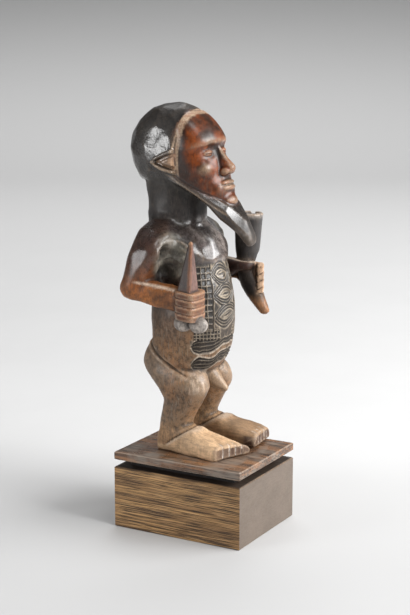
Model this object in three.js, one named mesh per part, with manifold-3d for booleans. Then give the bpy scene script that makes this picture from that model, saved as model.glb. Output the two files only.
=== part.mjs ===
// A standing bearded man carved from one piece of wood, about 145 mm tall, on a small wooden plinth.
// He holds a four-sided knife upright in his right hand and a horn in his left hand, his knees are bent, and
// his head leans back over a long jutting beard. The plinth is a block, a recessed dark spacer and a thin plate.
//
// Millimetres, +Z up, the origin at the centre of the plinth's underside. The man faces -Y, so his right hand is
// at -X. The figure is measured in its own frame: x from its midline and z from the soles of its feet.

import * as THREE from 'three';
import { mergeVertices } from 'three/addons/utils/BufferGeometryUtils.js';
import Module from 'manifold-3d';

const wasm = await Module();
wasm.setup();

// Plinth
const PLINTH_WIDTH = 48.6;      // along X, across the figure
const PLINTH_DEPTH = 60;        // along Y, from front to back
const BLOCK_HEIGHT = 26.5;
const GAP_HEIGHT = 3;           // the shadow gap, filled by the recessed spacer
const GAP_RECESS = 5.5;         // the spacer stands back this far from the plinth's sides
const PLATE_HEIGHT = 3.5;
const PLINTH_CHAMFER = 0.4;

// The figure's place on the plate
const FIGURE_SHIFT = 3.5;       // from the plinth's centre to the figure's midline, to the man's left
const SOLE_LEVEL = BLOCK_HEIGHT + GAP_HEIGHT + PLATE_HEIGHT;

// Body: a row is one cross-section, [height, middle, front, back, half width].
const TORSO = [
  [31, 0, 4, 13, 5],
  [33.5, 0, -1.5, 18, 9.5],
  [37, 0, -5, 22, 13.5],
  [41, 0, -7.6, 24, 15.5],
  [48, 0, -9.2, 24.5, 16.4],
  [57, 0, -9.9, 24.9, 16.6],
  [65, 0, -9.5, 24.5, 16.3],
  [71.5, 0, -8, 23.5, 16],
  [77.5, 0, -6.3, 22.8, 16],
  [79.5, 0, -6, 22.8, 16.3],
  [82, 0, -5.9, 23, 17.8],
  [87, 0, -4.2, 23.2, 19.2],
  [92, 0, -0.2, 23.4, 17],
  [96, 0, 4.6, 24.4, 12.8],
  [98.5, 0, 6.8, 25.2, 10.8],
];
const NECK = [
  [92, 0, 3.6, 26.6, 12],
  [97, 0, 3, 26.9, 11.8],
  [105, 0, 3, 27, 11.7],
  [112, 0, 2.8, 27.8, 12],
  [120, 0, 2.8, 28.4, 12.4],
];
const YOKE = { at: [0, 13.5, 89], radii: [25.5, 9.6, 9] };           // runs from shoulder to shoulder
const ARMPIT = { at: [17, 16, 81], radii: [8, 3.8, 9] };            // joins the upper arm to the trunk's side

// The eye-shaped lozenges carved one above the other on the belly, a little to the man's right
const LOZENGE = { x: -2, half: [5.6, 3.9], heights: [75, 66.8, 58.4], groove: 0.6, points: 12 };

// Legs, and the feet from heel to toe: [distance forward, middle, sole, top, half width]
const LEG = [
  [4, 10.4, 5.5, 17.4, 5.6],
  [13, 10.4, 2.3, 16.4, 6.4],
  [18, 10.3, -0.2, 15.4, 6.7],
  [22, 10.2, -2.6, 14.9, 6.8],
  [25, 10.1, -4.2, 16.8, 7.2],
  [28.5, 10, -5.2, 20, 7.6],
  [33.5, 9.8, -3.4, 24.4, 8.2],
  [37, 9.4, 0.5, 25.9, 8.5],
  [41, 8.8, 4.6, 25, 8.4],
  [46, 7.6, 8, 22.5, 7.6],
];
const FOOT = [
  [-17.6, 10.8, 1, 6, 2.6],
  [-16.2, 10.8, -1.5, 8.5, 4.4],
  [-13, 10.9, -2, 11, 5.5],
  [-5, 11.3, -2, 11.8, 6.3],
  [0, 11.7, -2, 10.6, 7.2],
  [7, 12.2, -2, 8.6, 8],
  [14, 12.4, -2, 6.9, 8.5],
  [19, 12.3, -2, 5.6, 8.6],
  [25, 12.2, -2, 4.4, 8.6],
];
const FOOT_POWER = 3.4;
const TOES = { middle: 12.4, pitch: 3.2, grooves: 4, groove: 0.8, length: 4.5, fall: 0.27, lift: 1.2, undercut: 3 };
// The toes end on a skewed line: forward distance at the foot's middle, and how much it falls back outward.
const RIGHT_TOE_LINE = { front: 18.3, slope: 0.45, rise: 0 };
const LEFT_TOE_LINE = { front: 19.4, slope: 0.08, rise: 1.8 };

// Head
const CRANIUM = { at: [0, 15.5, 126], radii: [15.5, 20, 19] };
const NAPE = 113.5;             // the hair ends behind in a small step at this height
const HAIRLINE = 7.2;           // the hair's front edge lies in this plane across the head
const HAIR_STEP = 0.8;
const FACE_TILT = 16;           // degrees that the face leans back
const FACE_PIVOT = [0, 10, 122];

// The face in its own leaning frame: [height, middle, front, back, half width]
const FACE = [
  [-24.4, 0, -13, -5, 3.4],
  [-23, 0, -15.2, -3, 5.8],
  [-19, 0, -15.8, 1, 8],
  [-13, 0, -15.4, 4, 10.4],
  [-7, 0, -15.4, 6, 12.3],
  [-1, 0, -15, 8, 13.2],
  [1.6, 0, -15.2, 8, 13.4],
  [3.6, 0, -16.7, 8, 13.5],
  [5.8, 0, -16.8, 8, 13.4],
  [10, 0, -15.4, 8, 13],
  [14, 0, -13.2, 7, 12.2],
  [18, 0, -9.6, 5, 10.8],
  [21, 0, -4, 2, 8],
];
const FACE_POWER = 2.5;
const NOSE = [
  [-10.8, 0, -16.6, -12, 2.2],
  [-9.9, 0, -19.4, -12, 3.2],
  [-8, 0, -20.6, -12, 2.9],
  [-4.5, 0, -18.8, -12, 2.1],
  [0, 0, -16.6, -12, 1.5],
  [4, 0, -16.2, -12, 2.2],
];
const SOCKET = { at: [6, -16.6, 0], radii: [4.2, 2.8, 3.2] };
const EYEBALL = { at: [5.9, -12.6, -0.2], radii: [3, 1.8, 1.5] };
const LIPS = { front: -15.6, z: -14.5, half: 4.8, upper: 1.3, lower: 1.5, out: 1.9, apart: 0.8 };
// The ear is a leaf pointing backward: [y, z] of its corners, and how far its edges bulge.
const EAR = { tip: [18.4, 121.2], top: [7.2, 126], bottom: [7.2, 117.2], bulge: 1.2 };
const EAR_HEIGHTS = { rim: 1.4, fold: 0.7, hollow: -0.5 };      // off the side of the head
const EAR_OPENING = 0.7;        // the size of the hollow within the leaf, and half of that again for the fold
const EAR_REACH = [10, 22];     // across x, through the side of the head

// Beard: [height, middle, front, back, half width in front, half width behind]
const BEARD = [
  [87.8, 0, -20.2, -18.8, 1.2, 1.4],
  [89.2, 0, -21.2, -18.2, 2.4, 2.7],
  [92.5, 0, -20.9, -15.6, 3.3, 4.6],
  [97, 0, -18.9, -10.6, 4.8, 7.4],
  [101, 0, -16.9, -6, 6, 9.3],
  [105, 0, -14.4, -1.8, 7.4, 10.8],
  [110, 0, -11.8, 6, 9.2, 12.6],
  [114, 0, -8, 14.5, 10.8, 13.8],
  [117.5, 0, -4, 18, 11.8, 14],
];
const BEARD_POWER = 3.6;
const BEARD_EDGE = [[8, 117.2], [-14, 103.4]];  // [y, z] of the ear's and the chin's ends of its upper edge

// Arms: the upper arm stands, and the forearm lies along [distance forward, middle, bottom, top, half width].
const UPPER_ARM = [
  [68.5, 26.4, 16.6, 24.2, 3],
  [71, 26.3, 14.6, 25.4, 4.7],
  [76, 25.8, 12.4, 24.8, 5.4],
  [81, 25, 9.8, 23.8, 6],
  [86, 23.4, 6.8, 22.8, 7],
  [91, 20.2, 7, 22, 6.8],
  [95, 15.8, 10, 21.6, 5.4],
  [98.5, 9, 12, 19.4, 2.6],
];
const FOREARM = [
  [-25.4, 26.3, 68.6, 73, 2.6],
  [-23.2, 26.4, 67, 75, 4.3],
  [-17, 26.2, 65.8, 75.2, 4.8],
  [-8, 25.3, 63.9, 74, 4.5],
  [0, 24.2, 62.8, 72.8, 4.3],
  [5, 24, 62.6, 72.6, 4.6],
];
const FIST = { at: [23.9, 66.4], front: -9.4, back: -0.2, half: 6.2, pitch: 3.05, groove: 0.45, fingers: 4 };
const FINGER_FLAT = [0.2, 0.8]; // where a finger's flat outside starts and ends, as shares of the pitch
const FIST_POWER = 4;
const FIST_FALL = 0.12;         // the fists slope down toward the front by this much
const LEFT_HAND = { lift: 5.6, turn: 14, inner: 20.6 };    // its fingers slope, and it is open on the inner side
const LEFT_THUMB = [
  [-5, 22, 68.4, 78.4, 4.6],
  [0, 20.4, 70.4, 78.2, 3.8],
  [4.5, 19.4, 73, 77.8, 3],
  [8.6, 20.6, 73.6, 77.4, 2.6],
  [10.2, 22.6, 74, 77, 2],
];

// What the hands hold
const KNIFE = [
  [70, 25, -7.4, -1, 4],
  [91.8, 24, -5.9, -4.5, 0.7],
];
const KNIFE_POWER = 50;         // its four sides are flat
const POMMEL = { x: 24, z: 58, radii: [3.6, 3.9, 3.4], at: [-1.6, -8.8] };
const HORN = [
  [54.8, 22.2, -16, -13.6, 1.3],
  [56.2, 22.2, -16.9, -12.4, 2.2],
  [61, 22, -15.1, -7.7, 3],
  [66, 21.8, -12.6, -2.8, 3.4],
  [70, 21.8, -10.8, -1, 3.7],
  [75, 22.6, -9.6, -0.8, 4.1],
  [81, 23.6, -10.2, -0.8, 4.7],
  [90, 24.2, -10.8, -0.4, 5.2],
  [97.5, 24.6, -11.4, 0, 5.7],
];
const HORN_MOUTH = { radius: 4.4, depth: 0.7 };

// Genital
const CONE = { base: [0, 0, 31.5], tip: [0, -8, 26.2], radii: [4.8, 1.4] };

// Roundness
const POWER = 2.2;              // 2 makes elliptical cross-sections, and larger numbers make squarer ones
const ARM_POWER = 2.6;
const SEGMENTS = 18;            // sides of the trunk and the legs
const LIMB_SEGMENTS = 14;
const SMALL_SEGMENTS = 12;
const HEAD_SEGMENTS = 20;

const FAR = 80;                 // past the figure's edge from anywhere in it

// Shaping

// A smooth curve through a table's rows, by their first number.
function curveOf(table) {
  const places = table.map(row => row[0]);
  const values = table.flatMap(row => row.slice(1));
  return new THREE.CubicInterpolant(places, values, table[0].length - 1);
}

// The rows of a table with smooth ones put in between, `steps` to each gap.
function smoothed(table, steps) {
  const heights = table.map(row => row[0]);
  const curve = curveOf(table);
  const rows = [];
  for (let i = 0; i + 1 < table.length; i++) {
    for (let k = 0; k < steps; k++) {
      const height = heights[i] + (heights[i + 1] - heights[i]) * k / steps;
      rows.push([height, ...curve.evaluate(height)]);
    }
  }
  rows.push(table[table.length - 1]);
  return rows;
}

// A closed skin over rings of points, with a flat fan across each end.
function skin(rings) {
  const count = rings[0].length;
  const last = (rings.length - 1) * count;
  const index = [];
  for (let start = 0; start < last; start += count) {
    for (let i = 0; i < count; i++) {
      const a = start + i;
      const b = start + (i + 1) % count;
      index.push(a, b, b + count, a, b + count, a + count);
    }
  }
  for (let i = 1; i + 1 < count; i++) {
    index.push(0, i + 1, i);
    index.push(last, last + i, last + i + 1);
  }
  const geometry = new THREE.BufferGeometry();
  geometry.setAttribute('position', new THREE.Float32BufferAttribute(rings.flat(2), 3));
  geometry.setIndex(index);
  return geometry;
}

// A form with a rounded cross-section at each row of its table.
function column(table, { steps = 2, power = POWER, segments = SEGMENTS } = {}) {
  const bend = value => Math.sign(value) * Math.abs(value) ** (2 / power);
  const rings = smoothed(table, steps).map(([z, middle, front, back, half, halfBehind = half]) => {
    const ring = [];
    for (let i = 0; i < segments; i++) {
      const angle = 2 * Math.PI * (i + 0.5) / segments;
      const along = bend(Math.sin(angle));
      const width = (half + halfBehind) / 2 + (halfBehind - half) / 2 * along;
      const x = middle + bend(Math.cos(angle)) * width;
      const y = (front + back) / 2 + along * (back - front) / 2;
      ring.push([x, y, z]);
    }
    return ring;
  });
  return skin(rings);
}

// A form laid down: its height points forward, its front and back become its bottom and top.
function lying(geometry) {
  return geometry.rotateX(Math.PI / 2);
}

function ball([x, y, z], [rx, ry, rz], segments = SMALL_SEGMENTS) {
  const sphere = new THREE.SphereGeometry(1, segments, Math.round(segments * 0.6));
  return sphere.rotateX(Math.PI / 2).scale(rx, ry, rz).translate(x, y, z);
}

function box([x0, y0, z0], [x1, y1, z1]) {
  const made = new THREE.BoxGeometry(x1 - x0, y1 - y0, z1 - z0);
  return made.translate((x0 + x1) / 2, (y0 + y1) / 2, (z0 + z1) / 2);
}

// The same form on the man's other side.
function mirrored(geometry) {
  return geometry.clone().scale(-1, 1, 1);
}

// From the face's leaning frame to the figure's.
function leaning(geometry) {
  return geometry.rotateX(-THREE.MathUtils.degToRad(FACE_TILT)).translate(...FACE_PIVOT);
}

// Joining and cutting

// Six times the volume inside a triangle mesh, negative when its faces point inward.
function signedVolume(positions, index) {
  const [a, b, c] = [new THREE.Vector3(), new THREE.Vector3(), new THREE.Vector3()];
  let sum = 0;
  for (let i = 0; i < index.length; i += 3) {
    a.fromArray(positions, 3 * index[i]);
    b.fromArray(positions, 3 * index[i + 1]);
    c.fromArray(positions, 3 * index[i + 2]);
    sum += a.dot(b.cross(c));
  }
  return sum;
}

function solid(geometry) {
  const bare = geometry.clone();
  bare.deleteAttribute('normal');
  bare.deleteAttribute('uv');
  const merged = mergeVertices(bare, 1e-4);
  const vertProperties = new Float32Array(merged.attributes.position.array);
  const triVerts = new Uint32Array(merged.index.array);
  if (signedVolume(vertProperties, triVerts) < 0) {
    triVerts.reverse();
  }
  return new wasm.Manifold(new wasm.Mesh({ numProp: 3, vertProperties, triVerts }));
}

function joined(geometries) {
  return geometries.map(solid).reduce((whole, next) => whole.add(next));
}

function cutFrom(whole, geometries) {
  return geometries.map(solid).reduce((rest, tool) => rest.subtract(tool), whole);
}

// Body

function trunk() {
  const web = ball(ARMPIT.at, ARMPIT.radii);
  return [column(TORSO), column(NECK, { steps: 1 }), ball(YOKE.at, YOKE.radii), web, mirrored(web)];
}

// A groove around each lozenge, lying in the belly's surface.
function lozenges() {
  const onBelly = (x, z) => {
    const [middle, front, back, half] = curveOf(TORSO).evaluate(z);
    const bulge = (1 - Math.abs((x - middle) / half) ** POWER) ** (1 / POWER);
    return new THREE.Vector3(x, (front + back) / 2 - bulge * (back - front) / 2, z);
  };
  return LOZENGE.heights.map(height => {
    const path = [];
    for (let i = 0; i < LOZENGE.points; i++) {
      const angle = 2 * Math.PI * i / LOZENGE.points;
      const lift = Math.sin(angle) * Math.abs(Math.sin(angle));
      path.push(onBelly(LOZENGE.x + LOZENGE.half[0] * Math.cos(angle), height + LOZENGE.half[1] * lift));
    }
    return new THREE.TubeGeometry(new THREE.CatmullRomCurve3(path, true), LOZENGE.points, LOZENGE.groove, 4, true);
  });
}

function genital() {
  const { base, tip, radii } = CONE;
  const from = new THREE.Vector3(...base);
  const to = new THREE.Vector3(...tip);
  const cone = new THREE.CylinderGeometry(radii[1], radii[0], from.distanceTo(to), SMALL_SEGMENTS);
  const along = to.clone().sub(from).normalize();
  const turn = new THREE.Quaternion().setFromUnitVectors(new THREE.Vector3(0, 1, 0), along);
  const middle = from.clone().add(to).divideScalar(2);
  cone.applyQuaternion(turn).translate(...middle.toArray());
  return [cone, ball(tip, [radii[1], radii[1], radii[1]])];
}

// A left leg with its foot, trimmed flat under the sole and along the skewed line of its toes.
function leg({ front, slope, rise }) {
  const reach = FOOT[FOOT.length - 1][0];
  const rows = FOOT.map(([forward, middle, sole, top, half]) => (
    [forward, middle, sole, top + rise * Math.max(0, forward / reach), half]));
  const limb = joined([column(LEG), lying(column(rows, { steps: 1, power: FOOT_POWER }))]);
  const alongToes = geometry => geometry.rotateZ(Math.atan(slope)).translate(TOES.middle, -front, 0);
  const beyond = alongToes(box([-FAR, -FAR, -FAR], [FAR, 0, FAR]));
  const undercut = alongToes(new THREE.CylinderGeometry(TOES.lift, TOES.lift, FAR, 4)
    .rotateZ(Math.PI / 2).scale(1, TOES.undercut, 1));
  const tools = [box([-FAR, -FAR, -FAR], [FAR, FAR, 0]), beyond, undercut];
  for (let i = 0; i < TOES.grooves; i++) {
    const x = (i - (TOES.grooves - 1) / 2) * TOES.pitch;
    const top = FOOT[FOOT.length - 2][3] + rise - TOES.groove / 2;
    const blade = () => new THREE.CylinderGeometry(TOES.groove, TOES.groove, 2 * TOES.length, 4);
    tools.push(alongToes(blade().rotateX(Math.PI / 2).translate(x, 0, TOES.length)));
    tools.push(alongToes(blade().rotateX(Math.atan(TOES.fall)).translate(x, 0, top)));
  }
  return cutFrom(limb, tools);
}

// Head

// The skull's form, grown by this much.
function cranium(growth) {
  return ball(CRANIUM.at, CRANIUM.radii.map(radius => radius + growth), HEAD_SEGMENTS);
}

function head() {
  const hair = solid(cranium(0)).intersect(solid(box([-FAR, HAIRLINE, NAPE], [FAR, FAR, NAPE + FAR])));
  return hair.add(solid(cranium(-HAIR_STEP))).add(face()).add(ear(1)).add(ear(-1));
}

function face() {
  const eyes = ({ at, radii }) => [1, -1].map(side => leaning(ball([side * at[0], at[1], at[2]], radii)));
  const lip = (sign, thick) => leaning(
    ball([0, LIPS.front, LIPS.z + sign * thick * LIPS.apart], [LIPS.half, LIPS.out, thick]));
  const bare = cutFrom(solid(leaning(column(FACE, { steps: 1, power: FACE_POWER }))), eyes(SOCKET));
  const features = joined([
    ...eyes(EYEBALL),
    leaning(column(NOSE, { steps: 1, segments: SMALL_SEGMENTS })),
    lip(1, LIPS.upper),
    lip(-1, LIPS.lower),
  ]);
  return bare.add(features);
}

// The leaf's outline, shrunk toward its middle.
function leaf(scale) {
  const { tip, top, bottom, bulge } = EAR;
  const middle = [(tip[0] + top[0] * 2) / 3, (top[1] + bottom[1] + tip[1]) / 3];
  const at = ([y, z]) => [(middle[0] + (y - middle[0]) * scale), (middle[1] + (z - middle[1]) * scale)];
  const shape = new THREE.Shape();
  shape.moveTo(...at(bottom));
  shape.quadraticCurveTo(...at([(bottom[0] + tip[0]) / 2, (bottom[1] + tip[1]) / 2 - bulge]), ...at(tip));
  shape.quadraticCurveTo(...at([(top[0] + tip[0]) / 2, (top[1] + tip[1]) / 2 + bulge]), ...at(top));
  return shape;
}

// The part of a leaf-shaped prism through the head's side that lies within `height` of the head's surface.
function earLayer(side, scale, height) {
  const [inner, outer] = EAR_REACH;
  const depth = outer - inner;
  const prism = new THREE.ExtrudeGeometry(leaf(scale), { depth, bevelEnabled: false, curveSegments: 3 })
    .rotateY(Math.PI / 2).rotateX(Math.PI / 2).translate(side > 0 ? inner : -outer, 0, 0);
  return solid(prism).intersect(solid(cranium(height)));
}

function ear(side) {
  const { rim, fold, hollow } = EAR_HEIGHTS;
  return earLayer(side, 1, rim)
    .subtract(earLayer(side, EAR_OPENING, 2 * rim))
    .add(earLayer(side, EAR_OPENING, hollow))
    .add(earLayer(side, EAR_OPENING / 2, fold));
}

// The beard stops above at a slanting edge that runs from the ears to the chin.
function beard() {
  const [[y0, z0], [y1, z1]] = BEARD_EDGE;
  const above = box([-FAR, -FAR, 0], [FAR, FAR, FAR])
    .rotateX(Math.atan2(z0 - z1, y0 - y1)).translate(0, (y0 + y1) / 2, (z0 + z1) / 2);
  return cutFrom(solid(column(BEARD, { steps: 1, power: BEARD_POWER, segments: LIMB_SEGMENTS })), [above]);
}

// Arms

function forearm(lift) {
  const length = FOREARM[FOREARM.length - 1][0] - FOREARM[0][0];
  const rows = FOREARM.map(([forward, middle, bottom, top, half]) => {
    const raised = lift * (forward - FOREARM[0][0]) / length;
    return [forward, middle, bottom + raised, top + raised, half];
  });
  return lying(column(rows, { steps: 1, segments: LIMB_SEGMENTS, power: ARM_POWER }));
}

// The left fist, level with the right one: each finger stands out between two grooves.
function fist() {
  const { at, front, back, half, pitch, groove, fingers } = FIST;
  const rows = [];
  const bottom = at[1] - pitch * fingers / 2;
  for (let finger = 0; finger <= fingers; finger++) {
    const z = bottom + pitch * finger;
    const inset = finger === 0 || finger === fingers ? groove * 2 : groove;
    rows.push([z, at[0], front + inset, back - inset, half - inset]);
    if (finger < fingers) {
      rows.push(...FINGER_FLAT.map(share => [z + pitch * share, at[0], front, back, half]));
    }
  }
  const falling = new THREE.Matrix4().makeShear(0, 0, 0, FIST_FALL, 0, 0);
  return column(rows, { steps: 1, power: FIST_POWER, segments: SMALL_SEGMENTS }).applyMatrix4(falling);
}

function leftFist() {
  const { lift, turn, inner } = LEFT_HAND;
  const [x, z] = FIST.at;
  const whole = fist().translate(-x, 0, -z).rotateY(THREE.MathUtils.degToRad(-turn)).translate(x, 0, z + lift);
  return cutFrom(solid(whole), [box([-FAR, -FAR, 0], [inner, FAR, 2 * FAR])])
    .add(solid(lying(column(LEFT_THUMB, { segments: SMALL_SEGMENTS }))));
}

function knife() {
  const blade = column(KNIFE, { steps: 1, segments: 4, power: KNIFE_POWER });
  return [blade, ...POMMEL.at.map(y => ball([POMMEL.x, y, POMMEL.z], POMMEL.radii))];
}

function horn() {
  const [top, middle, front, back] = HORN[HORN.length - 1];
  const { radius, depth } = HORN_MOUTH;
  const mouth = new THREE.CylinderGeometry(radius, radius, 2 * depth, LIMB_SEGMENTS).rotateX(Math.PI / 2)
    .translate(middle, (front + back) / 2, top);
  return cutFrom(solid(column(HORN, { steps: 1, segments: LIMB_SEGMENTS })), [mouth]);
}

function figure() {
  const upperArm = column(UPPER_ARM, { steps: 1, segments: LIMB_SEGMENTS });
  const whole = joined([
    ...trunk(),
    ...genital(),
    upperArm,
    mirrored(upperArm),
    forearm(LEFT_HAND.lift),
    mirrored(forearm(0)),
    mirrored(fist()),
    ...knife().map(mirrored),
  ]);
  const legs = [leg(LEFT_TOE_LINE), leg(RIGHT_TOE_LINE).mirror([1, 0, 0])];
  const complete = [head(), beard(), leftFist(), horn(), ...legs].reduce((all, next) => all.add(next), whole);
  const carved = cutFrom(complete, lozenges());
  return carved.translate([FIGURE_SHIFT, 0, SOLE_LEVEL]);
}

// Plinth

// A flat piece of the plinth, smaller all round than its sides by `inset`.
function slab(inset, bottom, height, chamfer) {
  const half = [PLINTH_WIDTH / 2 - inset - chamfer, PLINTH_DEPTH / 2 - inset - chamfer];
  const outline = new THREE.Shape([[-1, -1], [1, -1], [1, 1], [-1, 1]]
    .map(([x, y]) => new THREE.Vector2(x * half[0], y * half[1])));
  const bevel = { bevelEnabled: chamfer > 0, bevelThickness: chamfer, bevelSize: chamfer, bevelSegments: 1 };
  const made = new THREE.ExtrudeGeometry(outline, { depth: height - 2 * chamfer, steps: 1, ...bevel });
  return solid(made.translate(0, 0, bottom + chamfer));
}

// Nodes

function node(name, made, look) {
  const { vertProperties, triVerts } = made.getMesh();
  const geometry = new THREE.BufferGeometry();
  geometry.setAttribute('position', new THREE.BufferAttribute(new Float32Array(vertProperties), 3));
  geometry.setIndex(new THREE.BufferAttribute(new Uint32Array(triVerts), 1));
  const faceted = geometry.toNonIndexed();
  faceted.computeVertexNormals();
  const mesh = new THREE.Mesh(faceted, new THREE.MeshStandardMaterial({ metalness: 0, ...look }));
  mesh.name = name;
  return mesh;
}

const plate = slab(0, BLOCK_HEIGHT + GAP_HEIGHT, PLATE_HEIGHT, PLINTH_CHAMFER);
const spacer = slab(GAP_RECESS, BLOCK_HEIGHT, GAP_HEIGHT, 0);
const block = slab(0, 0, BLOCK_HEIGHT, PLINTH_CHAMFER);

const group = new THREE.Group();
group.name = 'bembe_figure';
group.add(
  node('figure', figure(), { color: 0x6b3f26, roughness: 0.45 }),
  node('plinth_plate', plate, { color: 0x5a4034, roughness: 0.4 }),
  node('plinth_spacer', spacer, { color: 0x14110f, roughness: 0.8 }),
  node('plinth_block', block, { color: 0x8a6238, roughness: 0.5 }),
);
export default group;
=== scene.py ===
"""
A standing bearded man carved from one piece of dark wood, on a small wooden plinth, dressed for the render.

The figure is one closed mesh over a field of distances: the forms of the solid, blended where the carver
blended them, then knife marks, the pattern on the belly and the fine features pressed into its surface.
Shapes are in millimetres in the figure's own frame: x from its midline, z from the soles of its feet, and
it faces -Y, so its right hand is at -X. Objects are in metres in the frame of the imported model.
"""

import itertools
import math

import bpy
import numpy as np
from mathutils import Matrix, Vector


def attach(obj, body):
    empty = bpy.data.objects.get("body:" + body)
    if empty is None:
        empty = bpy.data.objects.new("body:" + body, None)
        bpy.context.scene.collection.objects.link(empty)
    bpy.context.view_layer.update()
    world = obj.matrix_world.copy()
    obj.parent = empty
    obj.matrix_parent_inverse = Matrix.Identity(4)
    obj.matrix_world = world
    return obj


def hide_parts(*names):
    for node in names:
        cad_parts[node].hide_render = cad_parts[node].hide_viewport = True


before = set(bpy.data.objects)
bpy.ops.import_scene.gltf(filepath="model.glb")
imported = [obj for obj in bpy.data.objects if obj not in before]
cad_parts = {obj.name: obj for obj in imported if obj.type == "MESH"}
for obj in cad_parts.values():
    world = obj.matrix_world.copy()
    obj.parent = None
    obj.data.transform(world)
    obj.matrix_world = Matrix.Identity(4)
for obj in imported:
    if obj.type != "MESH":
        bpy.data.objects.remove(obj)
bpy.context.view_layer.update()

MM = 0.001
TINY = 1e-9     # keeps divisions off zero

# The photo's directions on the floor: to its right, and away from the camera
RIGHT = (0.492, -0.870)
AWAY = (0.852, 0.482)

# The figure's place on the plinth's plate
FIGURE_SHIFT = 3.5
SOLE_LEVEL = 33.0

# Body: a row is one cross-section, [height, middle, front, back, half width].
TORSO = [
    [31, 0, 4, 13, 6],
    [33.5, 0, -1.8, 18, 13.0],
    [37, 0, -5.2, 22, 16.0],
    [41, 0, -7.6, 24, 16.5],
    [48, 0, -9.2, 24.5, 16.6],
    [57, 0, -9.9, 24.9, 16.6],
    [65, 0, -9.5, 24.5, 16.3],
    [71.5, 0, -8, 23.5, 16],
    [77.5, 0, -6.3, 22.8, 16],
    [79.5, 0, -6, 22.8, 16.3],
    [82, 0, -5.9, 23, 17.8],
    [87, 0, -4.2, 23.2, 19.2],
    [92, 0, -0.2, 23.4, 17],
    [96, 0, 4.6, 24.4, 12.8],
    [98.5, 0, 6.8, 25.2, 10.8],
]
NECK = [
    [92, 0, 3.6, 26.6, 12],
    [97, 0, 3, 26.9, 11.8],
    [105, 0, 3, 27, 11.7],
    [112, 0, 2.8, 27.8, 12],
    [120, 0, 2.8, 28.4, 12.4],
]
YOKE = {"at": (0, 13.5, 89), "radii": (25.5, 9.6, 9)}
ARMPIT = {"at": (17, 16, 81), "radii": (8, 3.8, 9)}
POCKET = {"at": (18.2, 9.8, 76.8), "radii": (2.4, 3.8, 2.4)}
# The hollow between the chest and the upper arm, and the dusty place around it
SCOOP = {"at": (22.8, 2.2, 83.2), "radii": (4.6, 10.2, 7.8)}
DUSTY = {"at": (20, 7, 83.5), "radii": (8, 7.8, 10.5)}
# The ankle's crease: its height at the front and its fall toward the heel. The hip's crease: [y, z] along it.
ANKLE_CREASE = {"top": 10.9, "slope": 0.68, "heel": 12}
HIP_CREASE = [(-6, 30.6), (-3, 31.7), (6.2, 35.4), (14.4, 40.3), (20, 44.6), (26, 49)]

# Legs, and the feet from heel to toe: [distance forward, middle, sole, top, half width]
LEG = [
    [4, 10.4, 5.5, 17.4, 5.6],
    [13, 10.4, 2.3, 16.4, 6.4],
    [18, 10.3, -0.2, 15.4, 6.7],
    [22, 10.2, -2.6, 14.9, 6.8],
    [25, 10.1, -4.2, 16.8, 7.2],
    [28.5, 10, -5.2, 20, 7.6],
    [33.5, 9.4, -3.4, 24.4, 7.8],
    [37, 8.8, 0.5, 25.9, 7.2],
    [41, 8.3, 4.6, 25, 7.3],
    [46, 7.0, 8, 22.5, 7.0],
]
FOOT = [
    [-17.6, 10.8, 1, 6, 2.6],
    [-16.2, 10.8, -1.5, 8.5, 4.4],
    [-13, 10.9, -2, 11, 5.5],
    [-5, 11.3, -2, 11.8, 6.3],
    [0, 11.7, -2, 10.6, 7.2],
    [7, 12.2, -2, 8.6, 8],
    [14, 12.4, -2, 6.9, 8.5],
    [19, 12.3, -2, 5.6, 8.6],
    [25, 12.2, -2, 4.4, 8.6],
]
FOOT_POWER = 3.0
TOES = {"middle": 12.4, "pitch": 3.2, "grooves": 4, "reach": 3.4}
RIGHT_TOE_LINE = {"front": 18.3, "slope": 0.45, "rise": 0.0}
LEFT_TOE_LINE = {"front": 19.4, "slope": 0.08, "rise": 1.8}
GENITAL = {"base": (0, 0, 31.5), "tip": (0, -8, 26.2), "radii": (4.8, 1.4)}

# Head
CRANIUM = {"at": (0, 15.5, 126), "radii": (15.5, 20, 19)}
NAPE = 113.5
HAIRLINE = [(108, 9.3), (118, 9.2), (126, 8.8), (135, 7.3), (142, 5.4), (148, 4.2)]     # [z, y]
HAIR_STEP = 0.8
HAIR_BEVEL = 0.8
# The raised border in front of the hair: its width, how far it lies below the hair, and its lower end
BORDER = {"wide": 2.2, "low": 0.55, "from": 112}
FACE_INSET = 1.2     # how far the face runs on under the hair and the beard
FACE_TILT = math.radians(16)
FACE_PIVOT = (0, 10, 122)

# The face in its own leaning frame: [height, middle, front, back, half width]
FACE = [
    [-24.4, 0, -13, -5, 3.4],
    [-23, 0, -15.2, -3, 5.8],
    [-19, 0, -15.8, 1, 8],
    [-13, 0, -15.4, 4, 10.4],
    [-7, 0, -15.4, 6, 12.3],
    [-1, 0, -15, 8, 13.2],
    [1.6, 0, -15.2, 8, 13.4],
    [3.6, 0, -16.7, 8, 13.5],
    [5.8, 0, -16.8, 8, 13.4],
    [10, 0, -15.4, 8, 13],
    [14, 0, -13.2, 7, 12.2],
    [18, 0, -9.6, 5, 10.8],
    [21, 0, -4, 2, 8],
]
FACE_POWER = 2.5
NOSE = [
    [-10.8, 0, -16.6, -12, 2.2],
    [-9.9, 0, -19.4, -12, 3.2],
    [-8, 0, -20.6, -12, 2.9],
    [-4.5, 0, -18.8, -12, 2.1],
    [0, 0, -16.6, -12, 1.5],
    [4, 0, -16.2, -12, 2.2],
]
EYE = (5.9, -12.6, -0.2)
EYELIDS_MEET = -0.7
LIPS = {"z": -14.5, "half": 4.8}
EAR = {
    "tip": (18.8, 121.6),
    "base": 9.0,
    "half": 5.1,
    "curve": 0.62,
    "wall": 1.5,
    "rim": 1.6,
    "hollow": -0.5,
    "fold": 0.9,
}

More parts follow.
